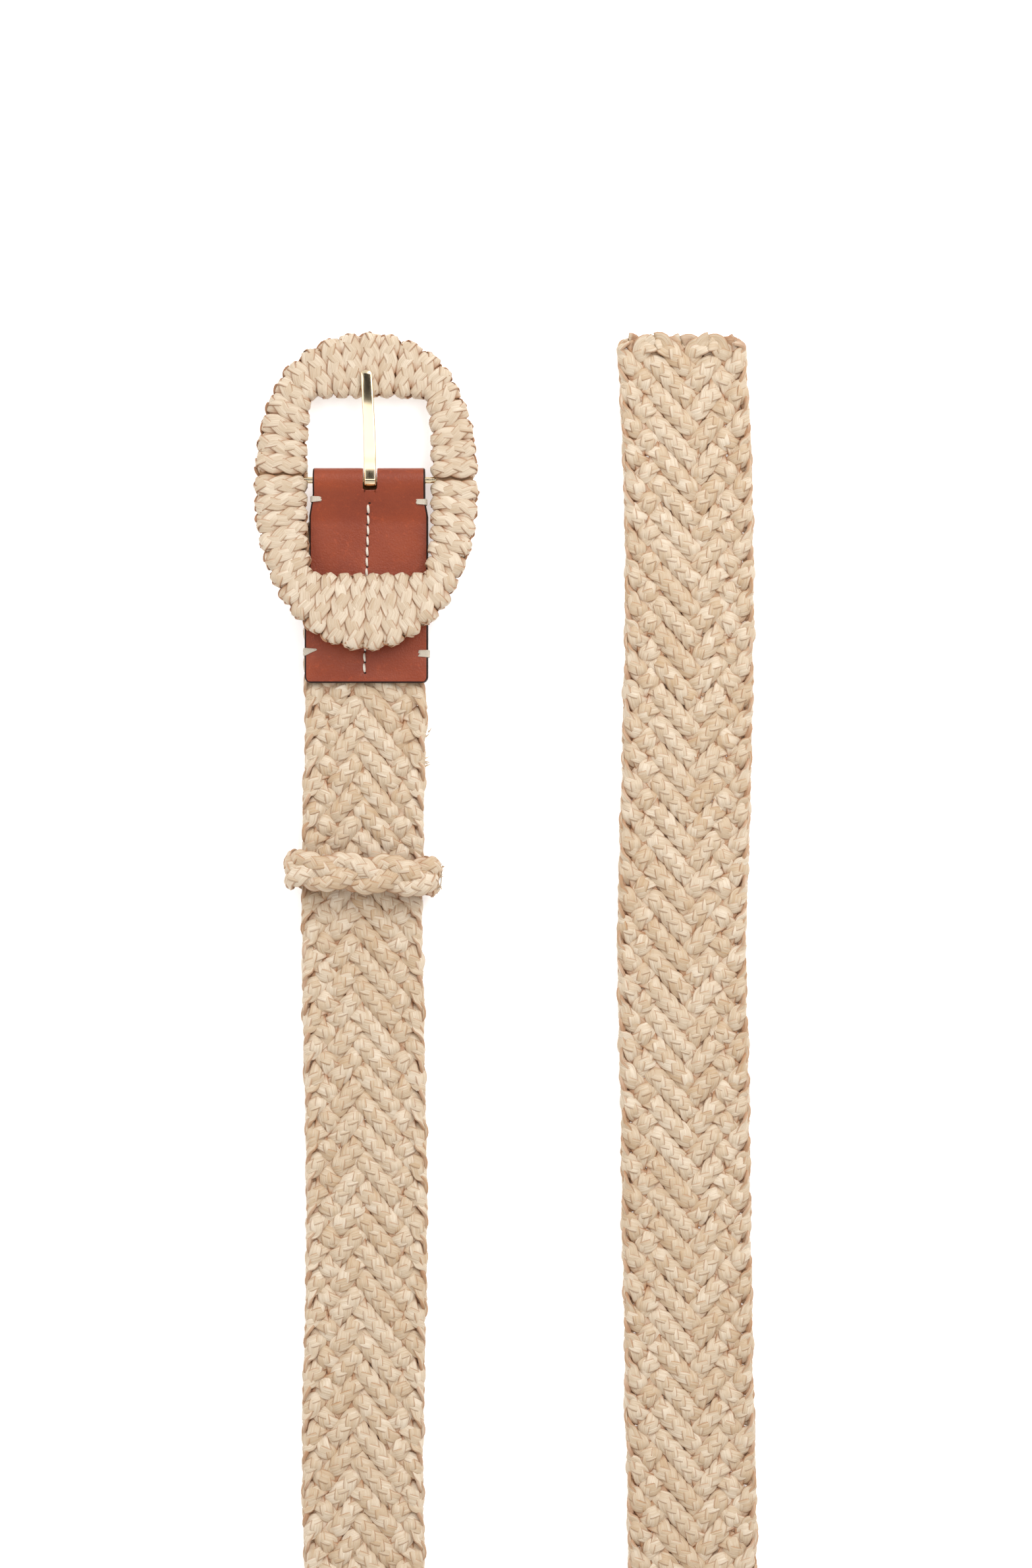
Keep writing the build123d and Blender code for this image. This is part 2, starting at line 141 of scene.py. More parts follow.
STITCHES, STITCH_FIRST, STITCH_LAST = 16, -8.6, -70.1
STITCH_X = (0.8, -0.8)
TACK_TURNS = 7
TACKS = [  # (row, side, y, half height at the edge, how far it tapers to its hole)
    ("upper", -1, -6.9, 0.85, 0.15),
    ("upper", 1, -8.0, 0.85, 0.15),
    ("lower", -1, -62.4, 1.1, 0.95),
    ("lower", 1, -63.0, 1.0, 0.1),
]
TACK_DENTS = [(-7.4, 0.75), (-62.0, 0.3)]  # (y, how deep the tacks pull the leather in)
TIP_THREAD_Y, TIP_THREAD_HALF, TIP_THREAD_Z = 44.0, 19.5, 0.45

KEEPER_X, KEEPER_Y, KEEPER_TILT = -1.4, -142.8, math.radians(-3.0)
KEEPER_INSET = 1.9  # from the keeper's outside to the middle of its cords
KEEPER_HALF_WIDTH = 28.7 - KEEPER_INSET
KEEPER_BOTTOM, KEEPER_TOP = 1.55, 18.8 - KEEPER_INSET
KEEPER_CORNER = 5.5
KEEPER_CORD, KEEPER_CORD_THICK, KEEPER_CORD_PERIOD = 8.3, 2.3, 14.5
KEEPER_PLAIT, KEEPER_SWING, KEEPER_RISE = 47.0, 4.1, 0.95  # period, half width and height of the plait
KEEPER_STEPS = 700
TIE_HEIGHTS = (8.2, 9.3, 10.5)
TIE_X, TIE_HALF_WIDTH, TIE_HALF_LENGTH = 26.8, 1.9, 4.4

# ---- the stage: places in millimetres, sizes in metres, powers in watts ----
VIEW_X, VIEW_Y = 54.4, -110.4  # what the camera looks straight down on
CAMERA_HEIGHT = 1592.7
FLOOR_SIZE, FLOOR_Z = 14, -0.0004
LIGHTS = [  # (name, place from the view's middle in metres, size, power)
    ("key", (0.5, 0.85, 1.15), (1.2, 1.2), 16.5),
    ("fill", (-1.5, 0.9, 1.8), (1.8, 1.8), 14),
    ("low", (0.6, -1.8, 1.4), (1.6, 1.2), 2),
]
TOP_LIGHT, TOP_LIGHT_SIZE, TOP_LIGHT_POWER = [0, 110, 1200], (0.7, 0.22), 0.5
CARDS = [("card_far", [0, 640, 1200], (0.5, 0.8)), ("card_near", [-20, -330, 2000], (0.9, 0.5))]

rng = np.random.default_rng(11)
X, Y, Z = np.eye(3)


def bar_place():
    low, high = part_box("buckle_bar")
    return np.array([(low[i] + high[i]) / 2 for i in range(3)]) * 1000 - [0, 0, BAR_Z]


ORIGIN = bar_place()


def in_row(points):
    return (np.asarray(points) + ORIGIN) / 1000


def smooth(x):
    x = np.clip(x, 0, 1)
    return x * x * (3 - 2 * x)


def unit(v):
    return v / np.maximum(np.linalg.norm(v, axis=-1, keepdims=True), 1e-9)


def joined(*parts):
    """Coordinates joined into points."""
    return np.stack(parts, axis=-1)


def path_length(points):
    """Length along the path at each of its points."""
    return np.concatenate([[0], np.cumsum(np.linalg.norm(np.diff(points, axis=0), axis=1))])


def rounder(angle_part, power):
    """A cosine or sine pushed outward, so that the oval becomes boxier as the power falls."""
    return np.sign(angle_part) * np.abs(angle_part) ** power


def plait_swing(phase):
    """Sideways place of one of three plaited strands, from -1 to 1."""
    return (np.sin(phase) - np.sin(3 * phase) / 9) * 0.9


def wobble(x, length, size):
    """A smooth, seeded, uneven wave along x, in strips of about that length."""
    out = np.zeros_like(x)
    for _ in range(WAVES):
        out += np.sin(x * 2 * math.pi / length * rng.uniform(0.5, 1.9) + rng.uniform(0, 6.3))
    return out * size / math.sqrt(WAVES)


# ---- meshes ----
def smooth_mesh(name, points, faces, materials):
    """A smooth-shaded mesh from points in millimetres."""
    mesh = bpy.data.meshes.new(name)
    mesh.from_pydata(in_row(points).tolist(), [], faces)
    mesh.polygons.foreach_set("use_smooth", np.ones(len(mesh.polygons), dtype=bool))
    for material in materials:
        mesh.materials.append(material)
    return mesh


def add_piece(mesh, name, body, replaced):
    piece = bpy.data.objects.new(name, mesh)
    bpy.context.scene.collection.objects.link(piece)
    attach(piece, body)
    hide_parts(*replaced)


class Bundle:
    """Tubes gathered into one mesh, each with its straightened coordinates for the fibre pattern."""

    def __init__(self):
        self.points, self.faces, self.fibre, self.tone, self.depth, self.edge = [], [], [], [], [], []
        self.count = 0

    def tube(self, centre, normal, width, height, level=0.0, reach=1.0, tone=None, ring=8, two_sided=True,
             flat_side=1.0):
        """A tube of oval section along centre. level is its height in the fabric, which sets the painted
        shade in the gaps.
        """
        n = len(centre)
        width, height, level = (np.broadcast_to(a, n) for a in (width, height, level))
        along = unit(np.gradient(centre, axis=0))
        side = unit(np.cross(along, normal))
        up = np.cross(side, along)
        angle = 2 * math.pi * (np.arange(ring) + 0.5) / ring
        flat = width[:, None] / 2 * rounder(np.cos(angle), flat_side)
        tall = height[:, None] / 2 * rounder(np.sin(angle), flat_side)
        points = centre[:, None] + side[:, None] * flat[..., None] + up[:, None] * tall[..., None]
        length = path_length(centre) + rng.uniform(0, 500)
        fibre = joined(flat, tall, np.broadcast_to(length[:, None], flat.shape))
        # depth holds the painted gap shade: low where the tube lies deep in the fabric.
        shade = (level[:, None] + tall) / reach
        shade = np.abs(shade) if two_sided else shade
        i, j = np.meshgrid(np.arange(n - 1), np.arange(ring), indexing="ij")
        k = (j + 1) % ring
        quads = joined(i * ring + j, i * ring + k, (i + 1) * ring + k, (i + 1) * ring + j)
        quads = quads.reshape(-1, 4) + self.count
        self.points.append(points.reshape(-1, 3))
        self.fibre.append(fibre.reshape(-1, 3))
        self.depth.append(shade.reshape(-1))
        # edge is 1 at the tube's sides, where the painted crease shade goes.
        self.edge.append(np.tile(np.abs(np.cos(angle)), n))
        self.tone.append(np.full(n * ring, rng.uniform(0, 1) if tone is None else tone))
        ends = [list(range(self.count + ring - 1, self.count - 1, -1))]
        ends.append(list(range(self.count + (n - 1) * ring, self.count + n * ring)))
        self.faces += quads.tolist() + ends
        self.count += n * ring

    def braid(self, centre, up, width, thick, turns, level=0.0, reach=1.0, sense=1, two_sided=True,
              convex=1.0, flat_side=0.66):
        """A braid of three flat yarns along centre. turns is how far round its pattern is at each point, and
        sense is 1 or -1 for its hand. convex is 1 where the face along up is the rounded one and -1 where the
        other face is."""
        n = len(centre)
        width, thick, level = (np.broadcast_to(a, n) for a in (width, thick, level))
        along = unit(np.gradient(centre, axis=0))
        side = unit(np.cross(along, up))
        up = np.cross(side, along)
        yarn_wide, yarn_thick = YARN_WIDE * width, YARN_THICK * thick
        rise = YARN_RISE * thick
        swing = (width - yarn_wide * YARN_OVERLAP) / 2
        for j in range(3):
            phase = 2 * math.pi * (turns + j / 3)
            on_top = sense * np.sin(2 * phase)
            share = plait_swing(phase)
            lean = YARN_LEAN * share * convex
            normal = up * np.cos(lean)[:, None] + side * np.sin(lean)[:, None]
            drop = (YARN_LEAN * swing * share**2 / 2 - thick * 0.06) * convex
            path = centre + side * (swing * share)[:, None] + up * (rise * on_top - drop)[:, None]
            wide = yarn_wide * (1 + wobble(turns, 1.7, 0.05))
            self.tube(path, normal, wide, yarn_thick, level + rise * on_top, reach, ring=10,
                      two_sided=two_sided, flat_side=flat_side)

    def build(self, name, material, body, replaced):
        mesh = smooth_mesh(name, np.concatenate(self.points), self.faces, [material])
        vector = mesh.attributes.new("fibre", "FLOAT_VECTOR", "POINT")
        vector.data.foreach_set("vector", np.concatenate(self.fibre).astype(np.float32).ravel())
        # depth and edge drive the painted shade in the gaps and creases.
        for label, values in (("tone", self.tone), ("depth", self.depth), ("edge", self.edge)):
            layer = mesh.attributes.new(label, "FLOAT", "POINT")
            layer.data.foreach_set("value", np.concatenate(values).astype(np.float32))
        mesh.update()
        add_piece(mesh, name, body, replaced)


# ---- materials ----
def grey(value):
    return (value, value, value)


def srgb(r, g, b):
    return tuple((c / 255 / 12.92 if c <= 10 else ((c / 255 + 0.055) / 1.055) ** 2.4) for c in (r, g, b))


def scaled(colour, share):
    return tuple(min(1, c * share) for c in colour)


class Nodes:
    """A short way to write a node material."""

    def __init__(self, name):
        self.material = bpy.data.materials.new(name)
        self.material.use_nodes = True
        self.tree = self.material.node_tree
        self.shader = self.tree.nodes["Principled BSDF"]

    def put(self, socket, value):
        """Link the value if it comes from another node, or else write it in."""
        if isinstance(value, bpy.types.NodeSocket):
            self.tree.links.new(value, socket)
        else:
            socket.default_value = value

    def add(self, kind, inputs=None, **values):
        node = self.tree.nodes.new("ShaderNode" + kind)
        for key, value in values.items():
            setattr(node, key, value)
        for key, value in (inputs or {}).items():
            self.put(node.inputs[key], value)
        return node

    def link(self, output, name):
        self.tree.links.new(output, self.shader.inputs[name])

    def set(self, **values):
        for key, value in values.items():
            self.shader.inputs[key.replace("_", " ")].default_value = value

    def attribute(self, name, output="Fac"):
        return self.add("Attribute", attribute_name=name).outputs[output]

    def place(self):
        return self.add("TexCoord").outputs["Object"]

    def mapping(self, vector, **inputs):
        return self.add("Mapping", inputs={"Vector": vector, **inputs}).outputs["Vector"]

    def ramp(self, value, stops):
        node = self.add("ValToRGB", inputs={"Fac": value})
        elements = node.color_ramp.elements
        while len(elements) < len(stops):
            elements.new(0.5)
        for element, (position, colour) in zip(elements, stops):
            element.position = position
            element.color = (*colour, 1)
        return node.outputs["Color"]

    def mix(self, factor, under, over):
        """Lay the plain colour over on the colour under, by factor."""
        node = self.add("Mix", data_type="RGBA", blend_type="MIX")
        for index, value in ((0, factor), (6, under), (7, (*over, 1))):
            self.put(node.inputs[index], value)
        return node.outputs[2]

    def math(self, operation, a, b):
        return self.add("Math", operation=operation, inputs={0: a, 1: b}).outputs[0]

    def noise(self, vector, scale, detail=2.0, roughness=0.5):
        inputs = {"Vector": vector, "Scale": scale, "Detail": detail, "Roughness": roughness}
        return self.add("TexNoise", inputs=inputs).outputs["Fac"]

    def bump(self, height, strength, distance):
        node = self.add("Bump", inputs={"Height": height, "Strength": strength, "Distance": distance})
        self.link(node.outputs["Normal"], "Normal")


def raffia(name, pale, straw, bright, crease_shade, shade):
    """Split palm fibre: fine lengthwise streaks, yarns of slightly different straw, and painted brown shade
    in the gaps between yarns and along each yarn's edges.
    """
    n = Nodes(name)
    fibre = n.attribute("fibre", "Vector")
    fine = n.noise(n.mapping(fibre, Scale=(1.5, 1.5, 0.10)), 1.6, 3.0, 0.6)
    patch = n.noise(n.mapping(fibre, Scale=(0.5, 0.5, 0.055)), 1.0, 2.0)
    blend = n.math("ADD", n.math("MULTIPLY", fine, 0.9), n.math("MULTIPLY", patch, 0.6))
    blend = n.math("ADD", blend, n.math("MULTIPLY", n.attribute("tone"), 0.34))
    colour = n.ramp(n.math("MULTIPLY", blend, 0.58), [(0.30, straw), (0.50, pale), (0.70, bright)])
    # Painted shade: a thin brown line along each yarn's sides, where the yarns meet.
    rim = n.math("ADD", n.attribute("edge"), n.math("MULTIPLY", fine, 0.2))
    colour = n.mix(n.ramp(rim, [(0.86, grey(0)), (1.06, grey(0.42))]), colour, crease_shade)
    # Painted shade: the brown gap colour is laid where the depth attribute is low, deep in the plait.
    colour = n.mix(n.ramp(n.attribute("depth"), [(0.05, grey(0.62)), (0.40, grey(0))]), colour, shade)
    n.link(colour, "Base Color")
    n.link(n.ramp(fine, [(0.3, grey(0.62)), (0.7, grey(0.42))]), "Roughness")
    n.bump(fine, 0.8, 0.00035)
    n.set(Specular_IOR_Level=0.42)
    return n.material


def leather(name, light, dark, roughness=0.42):
    """Smooth cowhide: fine pebbled grain, a little mottling."""
    n = Nodes(name)
    place = n.place()
    grain = n.add("TexVoronoi", feature="F1", inputs={"Vector": place, "Scale": 1500.0, "Randomness": 1.0})
    pores = n.noise(place, 900.0, 3.0, 0.6)
    mottle = n.noise(place, 70.0, 4.0, 0.6)
    specks = n.ramp(n.noise(place, 650.0, 2.0, 0.5), [(0.58, grey(0)), (0.75, grey(0.35))])
    colour = n.mix(specks, n.ramp(mottle, [(0.3, dark), (0.7, light)]), scaled(light, 1.5))
    n.link(colour, "Base Color")
    n.link(n.ramp(mottle, [(0.3, grey(roughness + 0.06)), (0.7, grey(roughness - 0.05))]), "Roughness")
    n.bump(n.math("ADD", n.math("MULTIPLY", grain.outputs["Distance"], 0.8), pores), 0.45, 0.00020)
    n.set(Specular_IOR_Level=0.45)
    return n.material


def thread(name, colour):
    """Twisted thread: slanting plies with painted shade in the grooves between them, and a soft sheen."""
    n = Nodes(name)
    slant = n.mapping(n.attribute("fibre", "Vector"), Rotation=(0.7, 0.5, 0))
    ply = n.add("TexWave", inputs={"Vector": slant, "Scale": 1.3, "Distortion": 0.6}).outputs["Fac"]
    # Painted shade: darker where the ply wave is low, in the grooves between plies.
    n.link(n.ramp(ply, [(0.1, scaled(colour, 0.72)), (0.7, colour)]), "Base Color")
    n.bump(ply, 0.4, 0.0001)
    n.set(Roughness=0.6, Sheen_Weight=0.15)
    return n.material


def paint(name, colour, roughness=0.35):
    """A plain coat with a slightly uneven colour."""
    n = Nodes(name)
    uneven = n.noise(n.place(), 400.0, 3.0)
    n.link(n.ramp(uneven, [(0.3, colour), (0.8, tuple(c * 1.7 for c in colour))]), "Base Color")
    n.bump(uneven, 0.25, 0.0001)
    n.set(Roughness=roughness, Specular_IOR_Level=0.2)
    return n.material


def gold(name, colour):
    """Polished plating with the faintest lengthwise polishing lines."""
    n = Nodes(name)
    polish = n.noise(n.mapping(n.place(), Scale=(1400, 60, 1400)), 1.0, 2.0)
    n.link(n.ramp(polish, [(0.2, scaled(colour, 0.93)), (0.8, colour)]), "Base Color")
    n.link(n.ramp(polish, [(0.2, grey(0.10)), (0.8, grey(0.16))]), "Roughness")
    n.set(Metallic=1.0)
    return n.material


def woven(name, colour):
    """Plain weave, as two crossed waves, with painted shade in the gaps between threads."""
    n = Nodes(name)
    waves = {"Vector": n.place(), "Scale": 900.0}
    warp, weft = (n.add("TexWave", bands_direction=d, inputs=waves).outputs["Fac"] for d in "XY")
    weave = n.math("MULTIPLY", warp, weft)
    # Painted shade: darker where the crossed waves are low, in the gaps between threads.
    n.link(n.ramp(weave, [(0.0, scaled(colour, 0.7)), (0.5, colour)]), "Base Color")
    n.bump(weave, 0.4, 0.0002)
    n.set(Roughness=0.85)
    return n.material


# The second and third colours here are painted brown shade: along the yarns' edges and in the gaps between
# yarns.
BRIGHT, CREASE_SHADE, GAP_SHADE = srgb(226, 210, 188), srgb(166, 98, 42), srgb(156, 92, 40)
STRAP_RAFFIA = raffia("raffia_strap", srgb(205, 183, 155), srgb(193, 161, 124), BRIGHT, CREASE_SHADE, GAP_SHADE)
BUCKLE_RAFFIA = raffia("raffia_buckle", srgb(203, 182, 156), srgb(191, 163, 130), BRIGHT, CREASE_SHADE, GAP_SHADE)
KEEPER_RAFFIA = raffia("raffia_keeper", srgb(203, 179, 150), srgb(190, 158, 121), BRIGHT, CREASE_SHADE, GAP_SHADE)
TAN = leather("leather_tan", srgb(147, 63, 30), srgb(132, 53, 26))
LINING_HIDE = leather("leather_lining", srgb(196, 152, 112), srgb(180, 134, 96), 0.7)
# Dark edge paint, also laid on the needle holes as painted shade.
EDGE_PAINT_AND_HOLE_SHADE = paint("edge_paint_and_hole_shade", srgb(34, 17, 13))
CUT_EDGE = paint("cut_edge", srgb(190, 140, 104), 0.6)
CREAM_THREAD = thread("thread_cream", srgb(240, 228, 212))
TACK_THREAD = thread("thread_tack", srgb(214, 202, 184))
PALE_GOLD = gold("gold_pale", srgb(250, 230, 194))
COTTON = woven("cotton_tape", srgb(214, 200, 174))
CORE = paint("core_board", srgb(120, 92, 66), 0.7)


# ---- the strap ----
def turn_heading(t):
    """Direction of the strap in plan, at share t of its turn."""
    return math.pi * (t - TURN_EVENNESS * np.sin(2 * math.pi * t) / (2 * math.pi))


def turn_plan():
    """(length, across, along) of the turn below the picture, which joins the two runs."""
    heading = turn_heading((np.arange(TURN_STEPS) + 0.5) / TURN_STEPS)
    across = np.concatenate([[0], np.cumsum(np.sin(heading))]) / TURN_STEPS
    along = np.concatenate([[0], np.cumsum(-np.cos(heading))]) / TURN_STEPS
    length = RUN_SPACING / across[-1]
    return length, across * length, along * length


TURN_LENGTH, TURN_ACROSS, TURN_ALONG = turn_plan()
TIPPING = FLAT_END - TURN_START
BANK_LENGTH = TIPPING + BANK_SHARE * TURN_LENGTH
WHOLE_TURN = 2 * TIPPING + TURN_LENGTH
STRAP_TIP = -FLAT_END + WHOLE_TURN + TIP_Y - FLAT_END  # length from the bar to the tip


def tail_sway(y):
    """The tip run lies in slow bends, not dead straight."""
    ys, offsets = np.array(TAIL_BENDS).T
    fine = np.linspace(ys[0], ys[-1], 400)
    kernel = np.hanning(41)
    padded = np.pad(np.interp(fine, ys, offsets), len(kernel) // 2, mode="edge")
    return np.interp(y, fine, np.convolve(padded, kernel / kernel.sum(), mode="valid"))


def strap_frame(s):
    """(centre, across, normal, width) of the strap at length s from the bar."""
    r = s + FLAT_END
    bank = math.pi / 2 * smooth(np.minimum(r, WHOLE_TURN - r) / BANK_LENGTH)
    t = np.clip((r - TIPPING) / TURN_LENGTH, 0, 1)
    steps = np.linspace(0, 1, len(TURN_ACROSS))
    heading = turn_heading(t)
    straight = np.minimum(r - TIPPING, 0) - np.maximum(r - TIPPING - TURN_LENGTH, 0)
    y = TURN_START + np.interp(t, steps, TURN_ALONG) - straight
    far = smooth((r - WHOLE_TURN + TAIL_EASE) / TAIL_EASE)
    near_sway = (1 - smooth(r / RUN_SWAY_FADE + 1)) * RUN_SWAY * np.sin(s / RUN_SWAY_LENGTH)
    x = STRAP_X + np.interp(t, steps, TURN_ACROSS) + far * tail_sway(y) + near_sway
    width = STRAP_WIDTH + (TAIL_WIDTH - STRAP_WIDTH) * smooth(r / WHOLE_TURN)
    lift = STRAP_LIFT * (1 - smooth(r / BANK_LENGTH))
    z = lift + width / 2 * np.sin(bank) + STRAP_THICK / 2 * np.cos(bank)
    outward = joined(-np.cos(heading), -np.sin(heading), np.zeros_like(s))
    across = outward * np.cos(bank)[:, None] - Z * np.sin(bank)[:, None]
    normal = Z * np.cos(bank)[:, None] + outward * np.sin(bank)[:, None]
    return joined(x, y, z), across, normal, width


def crossing(column, falling):
    """1 where this cord is on top at that column, and -1 where it is below."""
    on_top = "L" if falling else "R"
    return 1 if OVER[column - 1] == on_top else -1


def cord_level(place):
    """1 on top, -1 below and 0 at an edge, by the cord's place in its lap."""
    if place % CORDS == 0:
        return 0
    falling = place > CORDS
    return crossing(LAP - place if falling else place, falling)


def tip_path(m, last):
    """(row, column, height, roll, spin) of cord m from its last crossing to where it is turned in."""
    end = (last - 2 * m) % LAP
    half_turns = (last - 2 * m) // CORDS
    r = np.linspace(0, 1, TIP_STEPS)
    if end in (0, CORDS):
        angle = r * math.pi / 2
        side, middle = (-1, 1) if end == 0 else (1, CORDS - 1)
        column, row = middle + side * EDGE_BULGE * np.cos(angle), last + 0.5 * np.sin(angle)
        return row, column, np.zeros(TIP_STEPS), 1 - 0.4 * r, np.full(TIP_STEPS, half_turns - 0.5)
    falling = end > CORDS
    column = LAP - end if falling else end
    partner = column - 2 if falling else column + 2
    mine = crossing(column, falling)
    theirs = crossing(partner, not falling) if 0 < partner < CORDS else -mine
    row = last + 0.5 * (1 - (1 - r) ** 2)
    height = mine + ((mine + theirs) / 2 - mine) * (1 - np.cos(math.pi * r)) / 2
    return row, column - r if falling else column + r, height, 0.25 * r, np.full(TIP_STEPS, half_turns)


def strand_path(m, last):
    """(row, column, height, roll, spin) of cord m. Its row counts half rows, and last is its last crossing
    row. Roll is 1 at the strap's edge, and spin is how many half turns it has made about its own line."""
    parts = []
    f = np.arange(CROSSING_STEPS) / CROSSING_STEPS
    ease = (1 - np.cos(math.pi * f)) / 2
    for k in range(last):
        t = (k - 2 * m) % LAP + f
        column = np.where(t <= CORDS, t, LAP - t)
        for turn in (0, CORDS, LAP):
            bulge = EDGE_BULGE + 0.5 * (t - turn) ** 2
            column = np.where(np.abs(t - turn) < 1, CORDS - bulge if turn == CORDS else bulge, column)
        here, after = (cord_level((k + step - 2 * m) % LAP) for step in (0, 1))
        since = t % CORDS
        roll = np.clip(1 - np.minimum(since, CORDS - since), 0, 1) ** 1.5
        spin = (k - 2 * m) // CORDS + smooth((since - 9) / 2) - 1 + smooth((since + 1) / 2)
        parts.append((k + f, column, here + (after - here) * ease, roll, spin))
    parts.append(tip_path(m, last))
    return [np.concatenate(values) for values in zip(*parts)]


def make_strap():
    half = ROW / 2
    last = int((STRAP_TIP - PLAIT_START) / half)
    last -= last % 2
    for m in range(CORDS):
        row, column, height, roll, spin = strand_path(m, last)
        behind = (last + 0.5 - row) * half
        s = STRAP_TIP - TURN_OVER_IN - behind
        s = s + 1.3 * np.sin(s / 61.0) * smooth(behind / 60)
        centre, across, normal, width = strap_frame(s)
        inside = 1 - smooth((s - 70) / 12)  # squeezed between the two leaves of the tab
        thin = 1 - TAB_SQUEEZE * inside
        pitch = (width - 2 * EDGE_IN) / (CORDS - 1)
        lateral = -(column - CORDS / 2) * pitch + wobble(s, 40, 0.22) + 0.9 * inside
        level = height * LAYER * thin
        path = centre + across * lateral[:, None] + normal * (level + wobble(s, 30, 0.08))[:, None]
        outward = across * np.sign(lateral)[:, None]
        lean = spin * math.pi
        facing = np.where(np.round(spin) % 2 == 0, 1, -1)
        edge_face = np.where(np.floor(spin - 1e-6) % 2 == 0, 1, -1)
        up = normal * np.cos(lean)[:, None] + outward * (edge_face * np.abs(np.sin(lean)))[:, None]
        convex = np.where(roll > 0, edge_face, facing * height)
        length = path_length(path)
        turns = length / CORD_PERIOD + wobble(length, 90, 0.05) + rng.uniform()
        squeeze = (1 - EDGE_SQUEEZE * roll) * (0.93 + 0.07 * height**2)
        wide = CORD * squeeze * (1 + wobble(length, 45, 0.035))
        thick = CORD_THICK * thin * (1 + EDGE_FATTEN * roll) * (1 + wobble(length, 25, 0.04))
        # Height for the painted gap shade only, raised at the strap's edges so that the turning cords are not
        # shaded.
        gap_shade_level = facing * (level + 1.7 * roll * np.where(height >= 0, 1, -1))
        bundle = Bundle()
        bundle.braid(path, up, wide, thick, turns, level=gap_shade_level, reach=LAYER + 1.35, sense=1 if m % 2 else -1,
                     convex=convex)
        bundle.build(f"strap_cord_{m + 1}", STRAP_RAFFIA, "strap", ["strap_plait"])


# ---- leather ----
def leaf_height(y, depth):
    flat, fold = STRAP_MID + TAB_HALF_THICK - depth, BAR_Z + FOLD_RADIUS - depth
    return flat + (fold - flat) * smooth(1 + y / TAB_RISE)


def back_height(y, depth):
    flat, fold = STRAP_MID - TAB_HALF_THICK + depth, BAR_Z - FOLD_RADIUS + depth
    return flat + (fold - flat) * smooth(1 + y / TAB_RISE)


def tab_edges(y):
    """(left, right) edge of the tab at y, with its free corners rounded."""
    over = np.clip(TAB_CORNER - (y - TAB_END), 0, TAB_CORNER)
    inset = TAB_CORNER - np.sqrt(TAB_CORNER**2 - over**2)
    return np.interp(y, TAB_YS, TAB_LEFT) + inset, np.interp(y, TAB_YS, TAB_RIGHT) - inset


def seam_holes():
    """The needle holes, from the fold to the tab's end."""
    return np.linspace(*STITCH_X, STITCHES + 1), np.linspace(STITCH_FIRST, STITCH_LAST, STITCHES + 1)


def sheet_lines(left, right, inset, rim):
    """(x of every point, index of the slot's left line, index of its right line)."""
    wide = TAB_FOLD_WIDTH - 2 * inset
    slot_left = PRONG_X - SLOT_HALF_WIDTH - (TAB_FOLD_LEFT + inset)
    slot_right = PRONG_X + SLOT_HALF_WIDTH - (TAB_FOLD_LEFT + inset)
    lines = np.concatenate([
        rim,
        np.linspace(rim[-1] + 0.4, slot_left - 0.5, SIDE_LINES),
        [slot_left],
        np.linspace(slot_left + 0.6, slot_right - 0.6, SLOT_LINES),
        [slot_right],
        np.linspace(slot_right + 0.5, wide - rim[-1] - 0.4, SIDE_LINES),
        wide - rim[::-1],
    ])
    x = left[:, None] + (right - left)[:, None] * (lines / wide)[None, :]
    for i in range(len(rim)):  # the rim keeps its width where the tab narrows
        x[:, i] = left + rim[i]
        x[:, -1 - i] = right - rim[i]
    return x, len(rim) + SIDE_LINES, len(rim) + SIDE_LINES + 1 + SLOT_LINES


def sheet_relief(x, y, left, right, gap, on_leaf, front, pierced):
    """(how deep each point is pulled in, how far it swells, cells with a needle hole)."""
    seam_x = np.interp(y, [STITCH_LAST, STITCH_FIRST], STITCH_X[::-1])[:, None]
    in_seam = ((y > STITCH_LAST - 0.5) & (y < STITCH_FIRST + 0.5))[:, None] * on_leaf
    sink = in_seam * 0.16 * np.exp(-(((x - seam_x) / 0.9) ** 2))
    for row, size in TACK_DENTS:
        for edge in (left, right):
            away = np.abs(x - edge[:, None])
            sink += size * np.exp(-(((y[:, None] - row) / 2.6) ** 2)) * np.exp(-((away / 6.0) ** 2)) * on_leaf
    swell = 0.26 * np.sin(y / 7.3 + 1.0)[:, None] * np.sin(x / 6.1 + 0.6)
    swell = swell + 0.12 * np.sin(y / 3.1)[:, None] * np.cos(x / 4.3 + 1)
    swell = swell * on_leaf * smooth((-y - 4) / 6)[:, None] * smooth((gap - 0.5) / 4)
    holes = set()
    if pierced:
        for hole_x, hole_y in zip(*seam_holes()):
            for face in (1, -1):
                i = np.argmin(np.abs(y - hole_y) + 99 * (front != face))
                j = np.argmin(np.abs(x[i] - hole_x))
                i, j = i - (y[i] > hole_y) * face, j - (x[i, j] > hole_x)
                holes.add((int(i), int(j)))
                sink[i : i + 2, j : j + 2] += 0.25
    return sink, swell, holes


